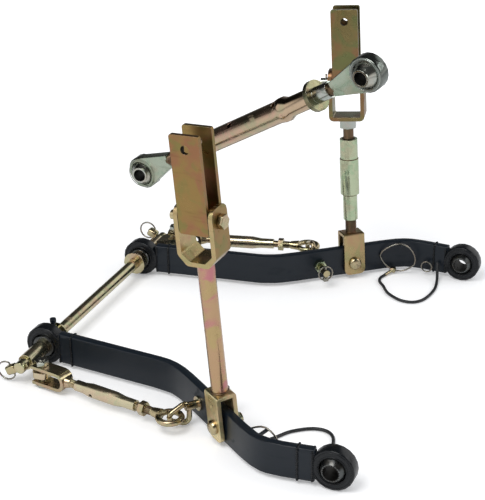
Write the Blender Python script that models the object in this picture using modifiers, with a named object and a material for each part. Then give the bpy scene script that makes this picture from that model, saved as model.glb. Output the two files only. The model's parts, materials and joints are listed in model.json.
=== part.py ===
"""Three point hitch for a compact tractor: two lower arms on a crossbar, lift rods,
stabilisers and a top link.

Metres, +Z up. The origin is the middle of the crossbar's axis. +X points to the rear,
where the implement is, -Y to the left arm and +Y to the right arm.
"""

import math

import bmesh
import bpy
from mathutils import Matrix, Vector

# Clearances
RUNNING_GAP = 0.0003  # between two pieces that touch
BALL_PLAY = 0.0005  # of a ball in its socket, so that it clears the facets at any angle
BOLT_TIP = 0.0020  # of a bolt beyond its nut
BOLT_PLAY = 0.001  # of a lift rod's bolt in the arm, on the radius
SINK = 0.0010  # of an end into the form it is forged or welded to

# Crossbar and what is on it
BAR_RADIUS = 0.0095
ARM_SPREAD = 0.1707  # from the middle to a front ball
COLLAR_RADIUS = 0.0150
COLLAR_LENGTH = 0.0170
FLANGE_RADIUS = 0.0195
FLANGE_THICKNESS = 0.0030
SET_SCREW_RADIUS = 0.0036
SET_SCREW_HEIGHT = {"left": 0.0165, "right": 0.0030}
SET_SCREW_HEAD = 0.0060
BAR_PIN_OUT = 0.0128  # of the pin, outboard of the sleeve
BAR_END = 0.0080  # of the crossbar, outboard of its pin
BAR_PIN_RADIUS = 0.0035
BAR_PIN_EXTRA = 0.0120  # of the pin, beyond the width of the crossbar
BAR_PIN_TILT = math.radians(25)
PIN_HEAD = (0.0140, 0.0140, 0.0180)
BAIL_WIRE = 0.0014
BAR_BAIL_RADIUS = 0.0150

# Lower arms
ARM_LENGTH = 0.5285
ARM_HEIGHT = 0.0500
ARM_THICKNESS = 0.0130
ARM_SLOPES = (0.11, 0.812, -0.091)
ARM_BENDS = (0.4418 * ARM_LENGTH, 0.8019 * ARM_LENGTH)
BEND_SOFTNESS = 0.0110
NECK_START = 0.0250
NECK_REACH = 0.0500
NECK_EDGE = 0.0030
ARM_EDGE = 0.0015
ARM_IN_RING = 0.0050
NECK_THICKNESS = 0.0160
NECK_HEIGHT = 0.0460
RING_RADIUS = 0.0310
RING_THICKNESS = 0.0210
RING_CHAMFER = 0.0020
BALL_RADIUS = 0.0215
FRONT_BALL_WIDTH = 0.0270
REAR_BALL_WIDTH = 0.0340
REAR_BORE = 0.0112

# Stabilisers
SLEEVE_RADIUS = 0.0124
SLEEVE_LENGTH = 0.0530
BAR_PIN_Y = ARM_SPREAD + FRONT_BALL_WIDTH / 2 + SLEEVE_LENGTH + BAR_PIN_OUT
BAR_HALF_LENGTH = BAR_PIN_Y + BAR_END
STABILISER_DROP = 0.0100  # of its axis from the crossbar's
FORK_BOLT = (0.0315, 0.2427)
STABILISER_EYE = (0.2640, 0.2900)
TAB_THICKNESS = 0.0100
TAB_WIDTH = 0.0220
TAB_ROOT = 0.0108  # of the tab, from the axis of the sleeve
TAB_ENDS = (0.0040, 0.0320)  # of the tab, from the outboard end of the sleeve
TAB_CORNERS = (0, 0, 0.0080, 0.0080, 0.0060)
FORK_WIDTH = 0.0240
FORK_STRAP = 0.0050
FORK_OPENING = 0.0200
FORK_NOSE = 0.0115
FORK_CORNER = 0.0125
FORK_STUD_IN = 0.0300
FORK_BOSS_RADIUS = 0.0095
FORK_BOSS_LENGTH = 0.0080
FORK_REACH = 0.0440  # from its bolt to the inside of the closed end
FORK_BOLT_RADIUS = 0.0050
FORK_NUT_FLATS = 0.0190
FORK_NUT_HEIGHT = 0.0080
FORK_HEAD_HEIGHT = 0.0050
STUD_RADIUS = 0.0059
TUBE_START = 0.0670
TUBE_LENGTH = 0.1100
TUBE_RADIUS = 0.0086
TUBE_BELLY = 0.0108
TUBE_HOLE_RADIUS = 0.0030
LOCK_NUT_FLATS = 0.0190
LOCK_NUT_HEIGHT = 0.0090
LOCK_NUT_GAP = 0.0085
EYE_WIRE = 0.0047
EYE_LOOP_RADIUS = 0.0170
EYE_NECK_RADIUS = 0.0088
EYE_NECK_LENGTH = 0.0140
EYE_STUD_IN = 0.0350
ARM_EYE_WIRE = 0.0042
ARM_EYE_CORNER = 0.0080
ARM_EYE_LENGTH = 0.0160
ARM_EYE_HEIGHT = 0.0140
ARM_EYE_SHANK = 0.0060
ARM_EYE_TAIL = 0.0380
ARM_EYE_WASHER = 0.0110
ARM_EYE_WASHER_THICKNESS = 0.0030
TAIL_PIN_RADIUS = 0.0020
TAIL_PIN_IN = 0.0060
TAIL_PIN_OUT = 0.0050
TAIL_HEAD = (0.0070, 0.0090, 0.0070)
TAIL_BAIL_RADIUS = 0.0125

# Lift rods
ROD_FOOT_X = 0.6547 * ARM_LENGTH
ROD_FOOT_Z = -0.0030
ROD_LEAN = (-0.026, 0.021, 0.421)
FOOT_OUTER = 0.0310
FOOT_STRAP = 0.0060
FOOT_WIDTH = 0.0370
FOOT_BELOW = 0.0205
FOOT_ABOVE = 0.0540
FOOT_BOLT_RADIUS = 0.0070
FOOT_HEAD_RADIUS = 0.0108
FOOT_HEAD_HEIGHT = 0.0075
FOOT_NUT_FLATS = 0.0200
FOOT_NUT_HEIGHT = 0.0085
FOOT_TOP_CORNER = 0.0040
FOOT_TIP_CORNER = 0.0090
LEFT_ROD_RADIUS = 0.0120
YOKE_BOTTOM = 0.2550
YOKE_BOLT_HEIGHT = 0.3180
YOKE_ABOVE = 0.0210
YOKE_OUTER = 0.0590
YOKE_STRAP = 0.0065
YOKE_WIDTH = 0.0400
YOKE_TAPER = {"left": (0.0130, 0.0150), "right": None}
YOKE_CORNER = 0.0075
YOKE_TIP_CORNER = 0.0120
LINK_CORNER = 0.0030
YOKE_TURN = {"left": math.radians(-6), "right": math.radians(12)}
YOKE_BOLT_RADIUS = 0.0065
YOKE_NUT_FLATS = 0.0190
YOKE_NUT_HEIGHT = 0.0080
YOKE_BOLT_ENDS = 0.0220  # of the bolt, outside the yoke on both sides together
YOKE_WASHER = 0.0020
NUT_EDGE = 0.0008
COTTER_RADIUS = 0.0018
LINK_PLATE = 0.0060
LINK_OUTER = 0.0400
LINK_BELOW = 0.0160
LINK_ABOVE = 0.1240
LINK_HOLE_DROP = 0.0200
LINK_HOLE_RADIUS = 0.0063

# Adjustable right rod
SCREW_RADIUS = 0.0088
FOOT_SCREW_LENGTH = 0.0750
YOKE_SCREW_IN = 0.0400
SCREW_BODY_BOTTOM = 0.0770
SCREW_BODY_TOP = 0.2200
SCREW_BODY_RADIUS = 0.0160
SCREW_BODY_HEAD = 0.0150
SCREW_BODY_HEAD_LENGTH = 0.0340
SCREW_BODY_WAIST_LENGTH = 0.0440
SCREW_BODY_STEP = 0.0020
SCREW_BODY_WAIST = 0.0122
SCREW_WINDOW = 0.0036
SCREW_NUT_FLATS = 0.0261
SCREW_NUT_HEIGHT = 0.0150

# Top link
TOP_FRONT = (0.0981, 0.0, 0.2369)
TOP_PITCH = math.radians(31.2)
TOP_YAW = math.radians(-15.5)
TOP_LENGTH = 0.4840
TOP_RING_RADIUS = 0.0258
TOP_RING_THICKNESS = 0.0200
TOP_BALL_RADIUS = 0.0215
TOP_BALL_WIDTH = 0.0440
TOP_BALL_SLEEVE = 0.0122
TOP_BORE = 0.0097
TOP_STUD_RADIUS = 0.0094
TOP_STUD_IN = 0.0850
TOP_EYE_NECK = 0.0620
TOP_EYE_PLATE = 0.0170
TOP_EYE_NOSE = 0.0105
TOP_EYE_EDGE = 0.0020
TOP_BODY_START = 0.1050
TOP_BODY_END = TOP_LENGTH - 0.1100
TOP_BODY_RADIUS = 0.0165
TOP_BODY_END_RADIUS = 0.0142
TOP_BUMP = 0.665 * TOP_LENGTH
TOP_BUMP_RADIUS = 0.0182
TOP_BUMP_FLAT = 0.0035
TOP_BUMP_SLOPE = 0.0130
TOP_BODY_SHOULDER = 0.0270
TOP_HOLES = (0.452 * TOP_LENGTH, 0.648 * TOP_LENGTH)
TOP_HOLE_RADIUS = 0.0052
TOP_COLLAR_RADIUS = 0.0225
TOP_COLLAR_THICKNESS = 0.0070
TOP_COLLAR_SLEEVE = 0.0120
TOP_COLLAR_GAP = 0.0060
TOP_COLLAR_LENGTH = 0.0330

# Linch pins on their lanyards, from the arm's rear bend, as (rearward, inward, up)
LANYARD_RADIUS = 0.0025
LANYARD_POINTS = (
    (-0.0213, 0.0509, -0.0275),
    (-0.0255, 0.0630, -0.0283),
    (-0.0225, 0.0770, -0.0283),
    (-0.0120, 0.0910, -0.0283),
    (0.0040, 0.1150, -0.0283),
    (0.0300, 0.1330, -0.0283),
    (0.0530, 0.1330, -0.0283),
    (0.0675, 0.1150, -0.0283),
    (0.0735, 0.0770, -0.0283),
    (0.0700, 0.0450, -0.0265),
    (0.0655, 0.0275, -0.0160),
    (0.0630, 0.0175, -0.0050),
)
LANYARD_STATIONS = 26
CORD_END_GAP = 0.0010
HOOK_X = 0.4160
HOOK_HEIGHT = 0.0215
HOOK_RADIUS = 0.0028
HOOK_REACH = 0.0180
BAIL_INWARD = 0.0293
BAIL_SLANT = 0.30
BAIL_OUTLINE = (
    (-0.0008, 0.0262), (0.0120, 0.0210), (0.0215, 0.0080), (0.0246, -0.0070), (0.0194, -0.0165),
    (0.0040, -0.0255), (-0.0120, -0.0237), (-0.0240, -0.0153), (-0.0342, 0.0036),
    (-0.0260, 0.0150), (-0.0115, 0.0238),
)
BAIL_STATIONS = 20
LANYARD_PIN_RADIUS = 0.0027
LANYARD_PIN_HEAD = (0.0100, 0.0100, 0.0086)
LANYARD_PIN_AT = (-0.0120, -0.0237)
SPLIT_RING_AT = (0.0440, 0.0190, -0.0150)
SPLIT_RING_RADIUS = 0.0095
SPLIT_RING_WIRE = 0.0012
RING_STUD_RADIUS = 0.0018
ROOT_DEPTH = 0.0040  # of a stud in the arm

# Fineness of the round pieces
ROUND = 20
FINE = 14
SMALL = 8
WIRE_SIDES = 1
CORD_SIDES = 2
SIDES = {"left": -1, "right": 1}


def clear_scene():
    for obj in list(bpy.data.objects):
        bpy.data.objects.remove(obj)


def collection(name):
    made = bpy.data.collections.new(name)
    bpy.context.scene.collection.children.link(made)
    return made


def finish(name, colour, roughness, metallic):
    made = bpy.data.materials.new(name)
    made.use_nodes = True
    shader = made.node_tree.nodes["Principled BSDF"]
    shader.inputs["Base Color"].default_value = (*colour, 1)
    shader.inputs["Roughness"].default_value = roughness
    shader.inputs["Metallic"].default_value = metallic
    return made


clear_scene()
PARTS = collection("three_point_hitch")
CUTTERS = collection("cutters")
BLACK = finish("satin_black", (0.02, 0.022, 0.03), 0.4, 0.0)
GOLD = finish("gold_zinc", (0.62, 0.47, 0.22), 0.35, 1.0)
PALE = finish("pale_zinc", (0.6, 0.62, 0.42), 0.35, 1.0)
SILVER = finish("bright_zinc", (0.7, 0.73, 0.75), 0.25, 1.0)
STEEL = finish("dark_steel", (0.12, 0.11, 0.1), 0.3, 1.0)
CORD = finish("black_cord", (0.015, 0.015, 0.02), 0.5, 0.0)


def along(direction):
    """A rotation that turns +Z to the direction."""
    return Vector((0, 0, 1)).rotation_difference(Vector(direction)).to_matrix().to_4x4()


def joint_frame(name, matrix):
    """An empty on a joint's axis, which carries the pieces that turn there."""
    empty = bpy.data.objects.new(name, None)
    empty.empty_display_size = 0.02
    PARTS.objects.link(empty)
    empty.matrix_world = matrix
    return empty


def place(obj, material, frame, centre=(0, 0, 0), direction=(0, 0, 1)):
    obj.data.materials.append(material)
    PARTS.objects.link(obj)
    obj.parent = frame
    obj.matrix_local = Matrix.Translation(centre) @ along(direction)
    return obj


def smooth(mesh):
    mesh.shade_smooth()
    mesh.set_sharp_from_angle(angle=math.radians(35))
    return mesh


def round_bar(name, radius, length, segments=FINE, end_radius=None):
    """A cylinder along Z, or a cone if its upper end has another radius."""
    mesh = bpy.data.meshes.new(name)
    build = bmesh.new()
    upper = radius if end_radius is None else end_radius
    bmesh.ops.create_cone(
        build, cap_ends=True, segments=segments, radius1=radius, radius2=upper, depth=length
    )
    build.to_mesh(mesh)
    build.free()
    return bpy.data.objects.new(name, smooth(mesh))


def hexagon(name, flats, height):
    return round_bar(name, flats / math.sqrt(3), height, segments=6)


def block(name, size):
    mesh = bpy.data.meshes.new(name)
    build = bmesh.new()
    bmesh.ops.create_cube(build, size=1)
    bmesh.ops.scale(build, vec=size, verts=build.verts)
    build.to_mesh(mesh)
    build.free()
    return bpy.data.objects.new(name, mesh)


def turned(name, profile, closed=False, steps=ROUND):
    """A profile of (radius, height) points, top to bottom down its outer side, turned about Z."""
    mesh = bpy.data.meshes.new(name)
    points = [(radius, 0, height) for radius, height in profile]
    edges = [(i, i + 1) for i in range(len(points) - 1)]
    if closed:
        edges.append((len(points) - 1, 0))
    mesh.from_pydata(points, edges, [])
    obj = bpy.data.objects.new(name, mesh)
    screw = obj.modifiers.new("turn", "SCREW")
    screw.steps = steps
    screw.render_steps = steps
    screw.use_merge_vertices = True
    screw.merge_threshold = 0.00001
    screw.use_smooth_shade = True
    return obj


def as_mesh(obj):
    """The curve's own solid as a mesh object, with its caps welded."""
    PARTS.objects.link(obj)
    bpy.context.view_layer.update()
    graph = bpy.context.evaluated_depsgraph_get()
    mesh = bpy.data.meshes.new_from_object(obj.evaluated_get(graph))
    name = obj.name
    bpy.data.objects.remove(obj)
    build = bmesh.new()
    build.from_mesh(mesh)
    bmesh.ops.remove_doubles(build, verts=build.verts, dist=0.00001)
    bmesh.ops.recalc_face_normals(build, faces=build.faces)
    build.to_mesh(mesh)
    build.free()
    mesh.materials.clear()
    return bpy.data.objects.new(name, smooth(mesh))


def spline_curve(name, points, dimensions, cyclic):
    curve = bpy.data.curves.new(name, "CURVE")
    curve.dimensions = dimensions
    spline = curve.splines.new("POLY")
    spline.points.add(len(points) - 1)
    for slot, point in zip(spline.points, points):
        slot.co = (*point, 0, 1) if len(point) == 2 else (*point, 1)
    spline.use_cyclic_u = cyclic
    return curve


def slab(name, outline, thickness):
    """A flat outline in XY, thickened along Z."""
    curve = spline_curve(name, outline, "2D", True)
    curve.fill_mode = "BOTH"
    curve.extrude = thickness / 2
    return as_mesh(bpy.data.objects.new(name, curve))


def wire(name, points, radius, cyclic=False, sides=WIRE_SIDES):
    curve = spline_curve(name, points, "3D", cyclic)
    curve.bevel_depth = radius
    curve.bevel_resolution = sides
    curve.use_fill_caps = True
    return as_mesh(bpy.data.objects.new(name, curve))


def rounded(corners, radii, steps=3):
    """The outline through the corners, each rounded by its radius."""
    outline = []
    for i, corner in enumerate(corners):
        here = Vector(corner)
        back = (Vector(corners[i - 1]) - here).normalized()
        ahead = (Vector(corners[(i + 1) % len(corners)]) - here).normalized()
        if not radii[i]:
            outline.append(tuple(here))
            continue
        half = back.angle(ahead) / 2
        middle = here + (back + ahead).normalized() * radii[i] / math.sin(half)
        first = here + back * radii[i] / math.tan(half) - middle
        last = here + ahead * radii[i] / math.tan(half) - middle
        sweep = first.angle_signed(last)
        for step in range(steps + 1):
            turn = Matrix.Rotation(-sweep * step / steps, 2)
            outline.append(tuple(middle + turn @ first))
    return outline


def combine(obj, other, operation):
    """Cuts, joins or trims obj by another object, which becomes a hidden cutter."""
    PARTS.objects.unlink(other)
    CUTTERS.objects.link(other)
    other.hide_render = True
    other.display_type = "WIRE"
    change = obj.modifiers.new(operation.lower(), "BOOLEAN")
    change.operation = operation
    change.object = other
    change.solver = "EXACT"


def cut(obj, other):
    combine(obj, other, "DIFFERENCE")


def join(obj, other):
    combine(obj, other, "UNION")


def trim(obj, other):
    combine(obj, other, "INTERSECT")


def soften(obj, width):
    edges = obj.modifiers.new("edges", "BEVEL")
    edges.width = width
    edges.segments = 1
    edges.limit_method = "ANGLE"
    edges.angle_limit = math.radians(40)


def sphere_arc(radius, half_width, steps):
    """(radius, height) points down a sphere, from one flat face to the other."""
    limit = math.asin(half_width / radius)
    turns = [limit * (1 - 2 * step / steps) for step in range(steps + 1)]
    return [(radius * math.cos(turn), radius * math.sin(turn)) for turn in turns]


def ball(name, radius, width, bore, sleeve=0.0):
    """A pierced ball. With a sleeve radius, its bore runs on through a sleeve on both sides."""
    half = width / 2
    if sleeve:
        arc = sphere_arc(radius, math.sqrt(radius**2 - sleeve**2), 4)
        outer = [(sleeve, half), *arc, (sleeve, -half)]
    else:
        outer = sphere_arc(radius, half, 4)
    return turned(name, outer + [(bore, -half), (bore, half)], closed=True)


def socket_ring(name, radius, thickness, ball_radius, chamfer=RING_CHAMFER):
    half = thickness / 2
    outer = [
        (radius - chamfer, half),
        (radius, half - chamfer),
        (radius, chamfer - half),
        (radius - chamfer, -half),
    ]
    cavity = sphere_arc(ball_radius + BALL_PLAY, half, 4)
    return turned(name, outer + cavity[::-1], closed=True)


def nut(name, flats, height, bore):
    """A hexagon nut as one solid with its bore."""
    made = hexagon(name, flats, height)
    return made, round_bar(name + "_bore", bore + RUNNING_GAP, height * 2)


def linch_head(name, size=PIN_HEAD):
    head = block(name, size)
    soften(head, size[0] * 0.18)
    return head


# Crossbar

def build_crossbar(root):
    bar = place(round_bar("crossbar", BAR_RADIUS, 2 * BAR_HALF_LENGTH), GOLD, root, direction=(0, 1, 0))
    soften(bar, 0.0012)
    for side, sign in SIDES.items():
        hole = round_bar(side + "_bar_hole", BAR_PIN_RADIUS + RUNNING_GAP, 4 * BAR_RADIUS)
        place(hole, GOLD, root, (0, sign * BAR_PIN_Y, 0), bar_pin_direction(sign))
        cut(bar, hole)
        build_collar(root, side, sign)
        build_bar_pin(root, side, sign)


def bar_pin_direction(sign):
    """Out of the crossbar to the pin's head. The right end is the left one rolled over."""
    return Vector((-math.cos(BAR_PIN_TILT), 0, sign * math.sin(BAR_PIN_TILT)))


def build_collar(root, side, sign):
    """A clamping collar with a flange on the inner side of each front ball."""
    face = ARM_SPREAD - FRONT_BALL_WIDTH / 2 - RUNNING_GAP
    bore = BAR_RADIUS + RUNNING_GAP
    length = COLLAR_LENGTH + FLANGE_THICKNESS
    profile = [
        (COLLAR_RADIUS - SINK, length),
        (COLLAR_RADIUS, length - SINK),
        (COLLAR_RADIUS, FLANGE_THICKNESS),
        (FLANGE_RADIUS, FLANGE_THICKNESS),
        (FLANGE_RADIUS, 0),
        (bore, 0),
        (bore, length),
    ]
    collar = turned(side + "_collar", profile, closed=True, steps=FINE)
    place(collar, PALE, root, (0, sign * (face - length), 0), (0, sign, 0))
    screw_y = sign * (face - COLLAR_LENGTH / 2)
    up = -sign
    hole = round_bar(side + "_screw_hole", SET_SCREW_RADIUS + RUNNING_GAP, 2 * COLLAR_RADIUS)
    reach = BAR_RADIUS + RUNNING_GAP
    place(hole, PALE, root, (0, screw_y, up * (reach / 2 + COLLAR_RADIUS)))
    cut(collar, hole)
    top = COLLAR_RADIUS + SET_SCREW_HEIGHT[side]
    under_head = max(top - SET_SCREW_HEAD, COLLAR_RADIUS + RUNNING_GAP)
    profile = [
        (0, top),
        (SET_SCREW_RADIUS * 1.4, top),
        (SET_SCREW_RADIUS * 1.4, under_head),
        (SET_SCREW_RADIUS, under_head),
        (SET_SCREW_RADIUS, reach),
        (0, reach),
    ]
    screw = turned(side + "_set_screw", profile, steps=FINE)
    place(screw, BLACK, root, (0, screw_y, 0), (0, 0, up))


def build_bar_pin(root, side, sign):
    direction = bar_pin_direction(sign)
    middle = Vector((0, sign * BAR_PIN_Y, 0))
    shaft_length = 2 * BAR_RADIUS + BAR_PIN_EXTRA
    pin = round_bar(side + "_bar_pin", BAR_PIN_RADIUS, shaft_length, segments=SMALL)
    place(pin, GOLD, root, middle + direction * BOLT_TIP, direction)
    head_distance = BAR_RADIUS + RUNNING_GAP + PIN_HEAD[2] / 2
    head = linch_head(side + "_bar_pin_head", PIN_HEAD)
    place(head, GOLD, root, middle + direction * head_distance, direction)
    join(pin, head)
    outboard = Vector((0, sign, 0))
    hinge = Matrix((outboard.cross(direction), outboard, direction)).transposed().to_4x4()
    centre = Matrix.Translation(middle + direction * head_distance)
    frame = joint_frame(side + "_bar_bail_hinge", centre @ hinge)
    eye = round_bar(side + "_bail_eye", BAIL_WIRE + RUNNING_GAP, PIN_HEAD[0] * 2, segments=SMALL)
    place(eye, GOLD, frame, direction=(1, 0, 0))
    cut(pin, eye)
    place(bail(side + "_bar_bail", BAR_BAIL_RADIUS, 0.25, PIN_HEAD[0]), STEEL, frame)


def bail(name, radius, inset, head_width):
    """A spring ring whose ends turn inwards, into the two sides of a pin's head.

    Its hinge is the X axis, and the ring lies in the XZ plane towards -Z or +Z.
    """
    reach = head_width / 2 - head_width * inset
    opening = math.asin((head_width / 2 + 0.004) / radius)
    centre = radius * math.cos(opening)
    steps = 12
    turns = [opening + (2 * math.pi - 2 * opening) * step / steps for step in range(steps + 1)]
    ring = [(radius * math.sin(turn), 0, centre - radius * math.cos(turn)) for turn in turns]
    return wire(name, [(reach, 0, 0), *ring, (-reach, 0, 0)], BAIL_WIRE)


# Lower arms

def arm_offset(x):
    """How far outward of its front ball the arm's middle line is, at x."""
    y = ARM_SLOPES[0] * x
    for before, after, bend in zip(ARM_SLOPES, ARM_SLOPES[1:], ARM_BENDS):
        y += (after - before) * BEND_SOFTNESS * math.log1p(math.exp((x - bend) / BEND_SOFTNESS))
    return y


def arm_slope(x):
    step = 0.0001
    return (arm_offset(x + step) - arm_offset(x - step)) / (2 * step)


def arm_point(x, off=0.0):
    """A point of the arm's plan in its own frame, off towards the outer side."""
    slope = arm_slope(x)
    run = math.hypot(1, slope)
    return (x - off * slope / run, arm_offset(x) + off / run)


def arm_stations():
    stations = [RING_RADIUS - ARM_IN_RING, ARM_LENGTH - RING_RADIUS + ARM_IN_RING]
    for bend in ARM_BENDS:
        stations += [bend + BEND_SOFTNESS * step for step in (-3, -1.2, 0, 1.2, 3)]
    return sorted(stations)


def build_arm(side, sign, ball_frame):
    frame = joint_frame(side + "_sway", ball_frame.matrix_world.copy())
    half = ARM_THICKNESS / 2
    stations = arm_stations()
    outline = [arm_point(x, half) for x in stations] + [arm_point(x, -half) for x in stations[::-1]]
    outline = [(x, sign * y) for x, y in outline]
    arm = place(slab(side + "_arm", outline, ARM_HEIGHT), BLACK, frame)
    soften(arm, ARM_EDGE)
    for end, x in (("front", 0.0), ("rear", ARM_LENGTH)):
        centre = (x, sign * arm_offset(x), 0)
        inward = 1 if end == "front" else -1
        slope = arm_slope(x)
        neck = block(f"{side}_{end}_neck", (NECK_REACH - NECK_START, NECK_THICKNESS, NECK_HEIGHT))
        soften(neck, NECK_EDGE)
        middle = inward * (NECK_REACH + NECK_START) / 2
        place(neck, BLACK, frame)
        spot = Matrix.Translation((x + middle, centre[1] + sign * slope * middle, 0))
        neck.matrix_local = spot @ Matrix.Rotation(sign * math.atan(slope), 4, "Z")
        join(arm, neck)
        ring = socket_ring(f"{side}_{end}_ring", RING_RADIUS, RING_THICKNESS, BALL_RADIUS)
        place(ring, BLACK, frame, centre, (0, 1, 0))
        join(arm, ring)
    foot = arm_point(ROD_FOOT_X)
    hole = round_bar(side + "_foot_hole", FOOT_BOLT_RADIUS + BOLT_PLAY, ARM_THICKNESS * 3)
    place(hole, BLACK, frame, (foot[0], sign * foot[1], ROD_FOOT_Z), arm_normal(sign))
    cut(arm, hole)
    shank = arm_eye_axis(sign) - frame.matrix_world.translation
    hole = round_bar(side + "_eye_hole", ARM_EYE_SHANK + RUNNING_GAP, ARM_THICKNESS * 3)
    place(hole, BLACK, frame, shank, arm_normal(sign))
    cut(arm, hole)
    add_hooks(side, sign, arm, frame)
    rear = (ARM_LENGTH, sign * arm_offset(ARM_LENGTH), 0)
    rear_frame = joint_frame(side + "_rear_swivel", frame.matrix_world @ Matrix.Translation(rear))
    rear_ball = ball(side + "_rear_ball", BALL_RADIUS, REAR_BALL_WIDTH, REAR_BORE)
    place(rear_ball, STEEL, rear_frame, direction=(0, 1, 0))
    return frame


def arm_normal(sign):
    """Square to the arm's slanted middle part, pointing outward."""
    slope = ARM_SLOPES[1]
    return Vector((-slope, sign, 0)).normalized()


def arm_eye_axis(sign):
    """Where the axis of the arm's eye crosses the arm's middle line."""
    eye = Vector((STABILISER_EYE[0], sign * STABILISER_EYE[1], 0))
    slant = Vector((1, sign * ARM_SLOPES[1], 0))
    start = ARM_BENDS[0] * ARM_SLOPES[0] - ARM_SLOPES[1] * ARM_BENDS[0]
    on_line = Vector((0, sign * (ARM_SPREAD + start), 0))
    square = Vector((-slant.y, slant.x, 0)).normalized()
    return eye + square * (on_line - eye).dot(square)


def near_bend(sign, rearward, inward, height):
    """A point given from where the arm's slant and its rear stretch meet."""
    corner = ARM_SLOPES[0] * ARM_BENDS[0] + ARM_SLOPES[1] * (ARM_BENDS[1] - ARM_BENDS[0])
    return Vector((ARM_BENDS[1] + rearward, sign * (corner - inward), height))


def bail_inward(rearward):
    """How far inward the plane of the hanging bail is."""
    return BAIL_INWARD - BAIL_SLANT * rearward


def add_stud(name, arm, frame, at, direction, radius, reach):
    length = reach + ROOT_DEPTH
    stud = round_bar(name, radius, length, segments=SMALL)
    place(stud, BLACK, frame, at + direction * (reach - ROOT_DEPTH) / 2, direction)
    join(arm, stud)


def add_hooks(side, sign, arm, frame):
    """The studs that the linch pin's bail and the split ring hang on."""
    x, y = arm_point(HOOK_X, -ARM_THICKNESS / 2)
    at = Vector((x, sign * y, HOOK_HEIGHT))
    inward = Vector((BAIL_SLANT, -sign, 0)).normalized()
    add_stud(side + "_hook", arm, frame, at, inward, HOOK_RADIUS, HOOK_REACH)
    rearward, off, height = SPLIT_RING_AT
    x, y = arm_point(ARM_BENDS[1] + rearward, -ARM_THICKNESS / 2)
    top = height + SPLIT_RING_RADIUS - SPLIT_RING_WIRE - RUNNING_GAP - RING_STUD_RADIUS
    at = Vector((x, sign * y, top))
    reach = abs(near_bend(1, 0, off, 0).y - y) + 3 * SPLIT_RING_WIRE
    add_stud(side + "_ring_stud", arm, frame, at, Vector((0, -sign, 0)), RING_STUD_RADIUS, reach)


# Stabilisers

def stabiliser_frame(sign):
    """At the fork's bolt, with X along the stabiliser and Z up."""
    bolt = Vector((FORK_BOLT[0], sign * FORK_BOLT[1], sign * STABILISER_DROP))
    eye = Vector((STABILISER_EYE[0], sign * STABILISER_EYE[1], bolt.z))
    run = (eye - bolt).normalized()
    across = Vector((0, 0, 1)).cross(run)
    matrix = Matrix((run, across, (0, 0, 1))).transposed().to_4x4()
    return Matrix.Translation(bolt) @ matrix, (eye - bolt).length


def build_bracket(root, side, sign):
    start = ARM_SPREAD + FRONT_BALL_WIDTH / 2 + RUNNING_GAP
    frame = joint_frame(side + "_bracket_hinge", Matrix.Translation((0, sign * start, 0)))
    bore = BAR_RADIUS + RUNNING_GAP
    profile = [(SLEEVE_RADIUS, SLEEVE_LENGTH), (SLEEVE_RADIUS, 0), (bore, 0), (bore, SLEEVE_LENGTH)]
    bracket = turned(side + "_bracket", profile, closed=True)
    place(bracket, GOLD, frame, direction=(0, sign, 0))
    tab_y = FORK_BOLT[1] - start
    tip = FORK_BOLT[0]
    half = TAB_WIDTH / 2
    corners = [
        (TAB_ROOT, SLEEVE_LENGTH - TAB_ENDS[0]),
        (TAB_ROOT, SLEEVE_LENGTH - TAB_ENDS[1]),
        (tip + half, tab_y - half - TAB_ENDS[0]),
        (tip + half, tab_y + half),
        (tip - half, tab_y + half),
    ]
    outline = [(x, sign * y) for x, y in rounded(corners, TAB_CORNERS)]
    tab = place(slab(side + "_tab", outline, TAB_THICKNESS), GOLD, frame, (0, 0, sign * STABILISER_DROP))
    join(bracket, tab)
    clear = round_bar(side + "_sleeve_bore", bore, 3 * SLEEVE_LENGTH, segments=ROUND)
    place(clear, GOLD, frame, direction=(0, 1, 0))
    cut(bracket, clear)
    hole = round_bar(side + "_tab_hole", FORK_BOLT_RADIUS + RUNNING_GAP, 3 * TAB_THICKNESS)
    place(hole, GOLD, frame, (tip, sign * tab_y, sign * STABILISER_DROP))
    cut(bracket, hole)


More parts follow.
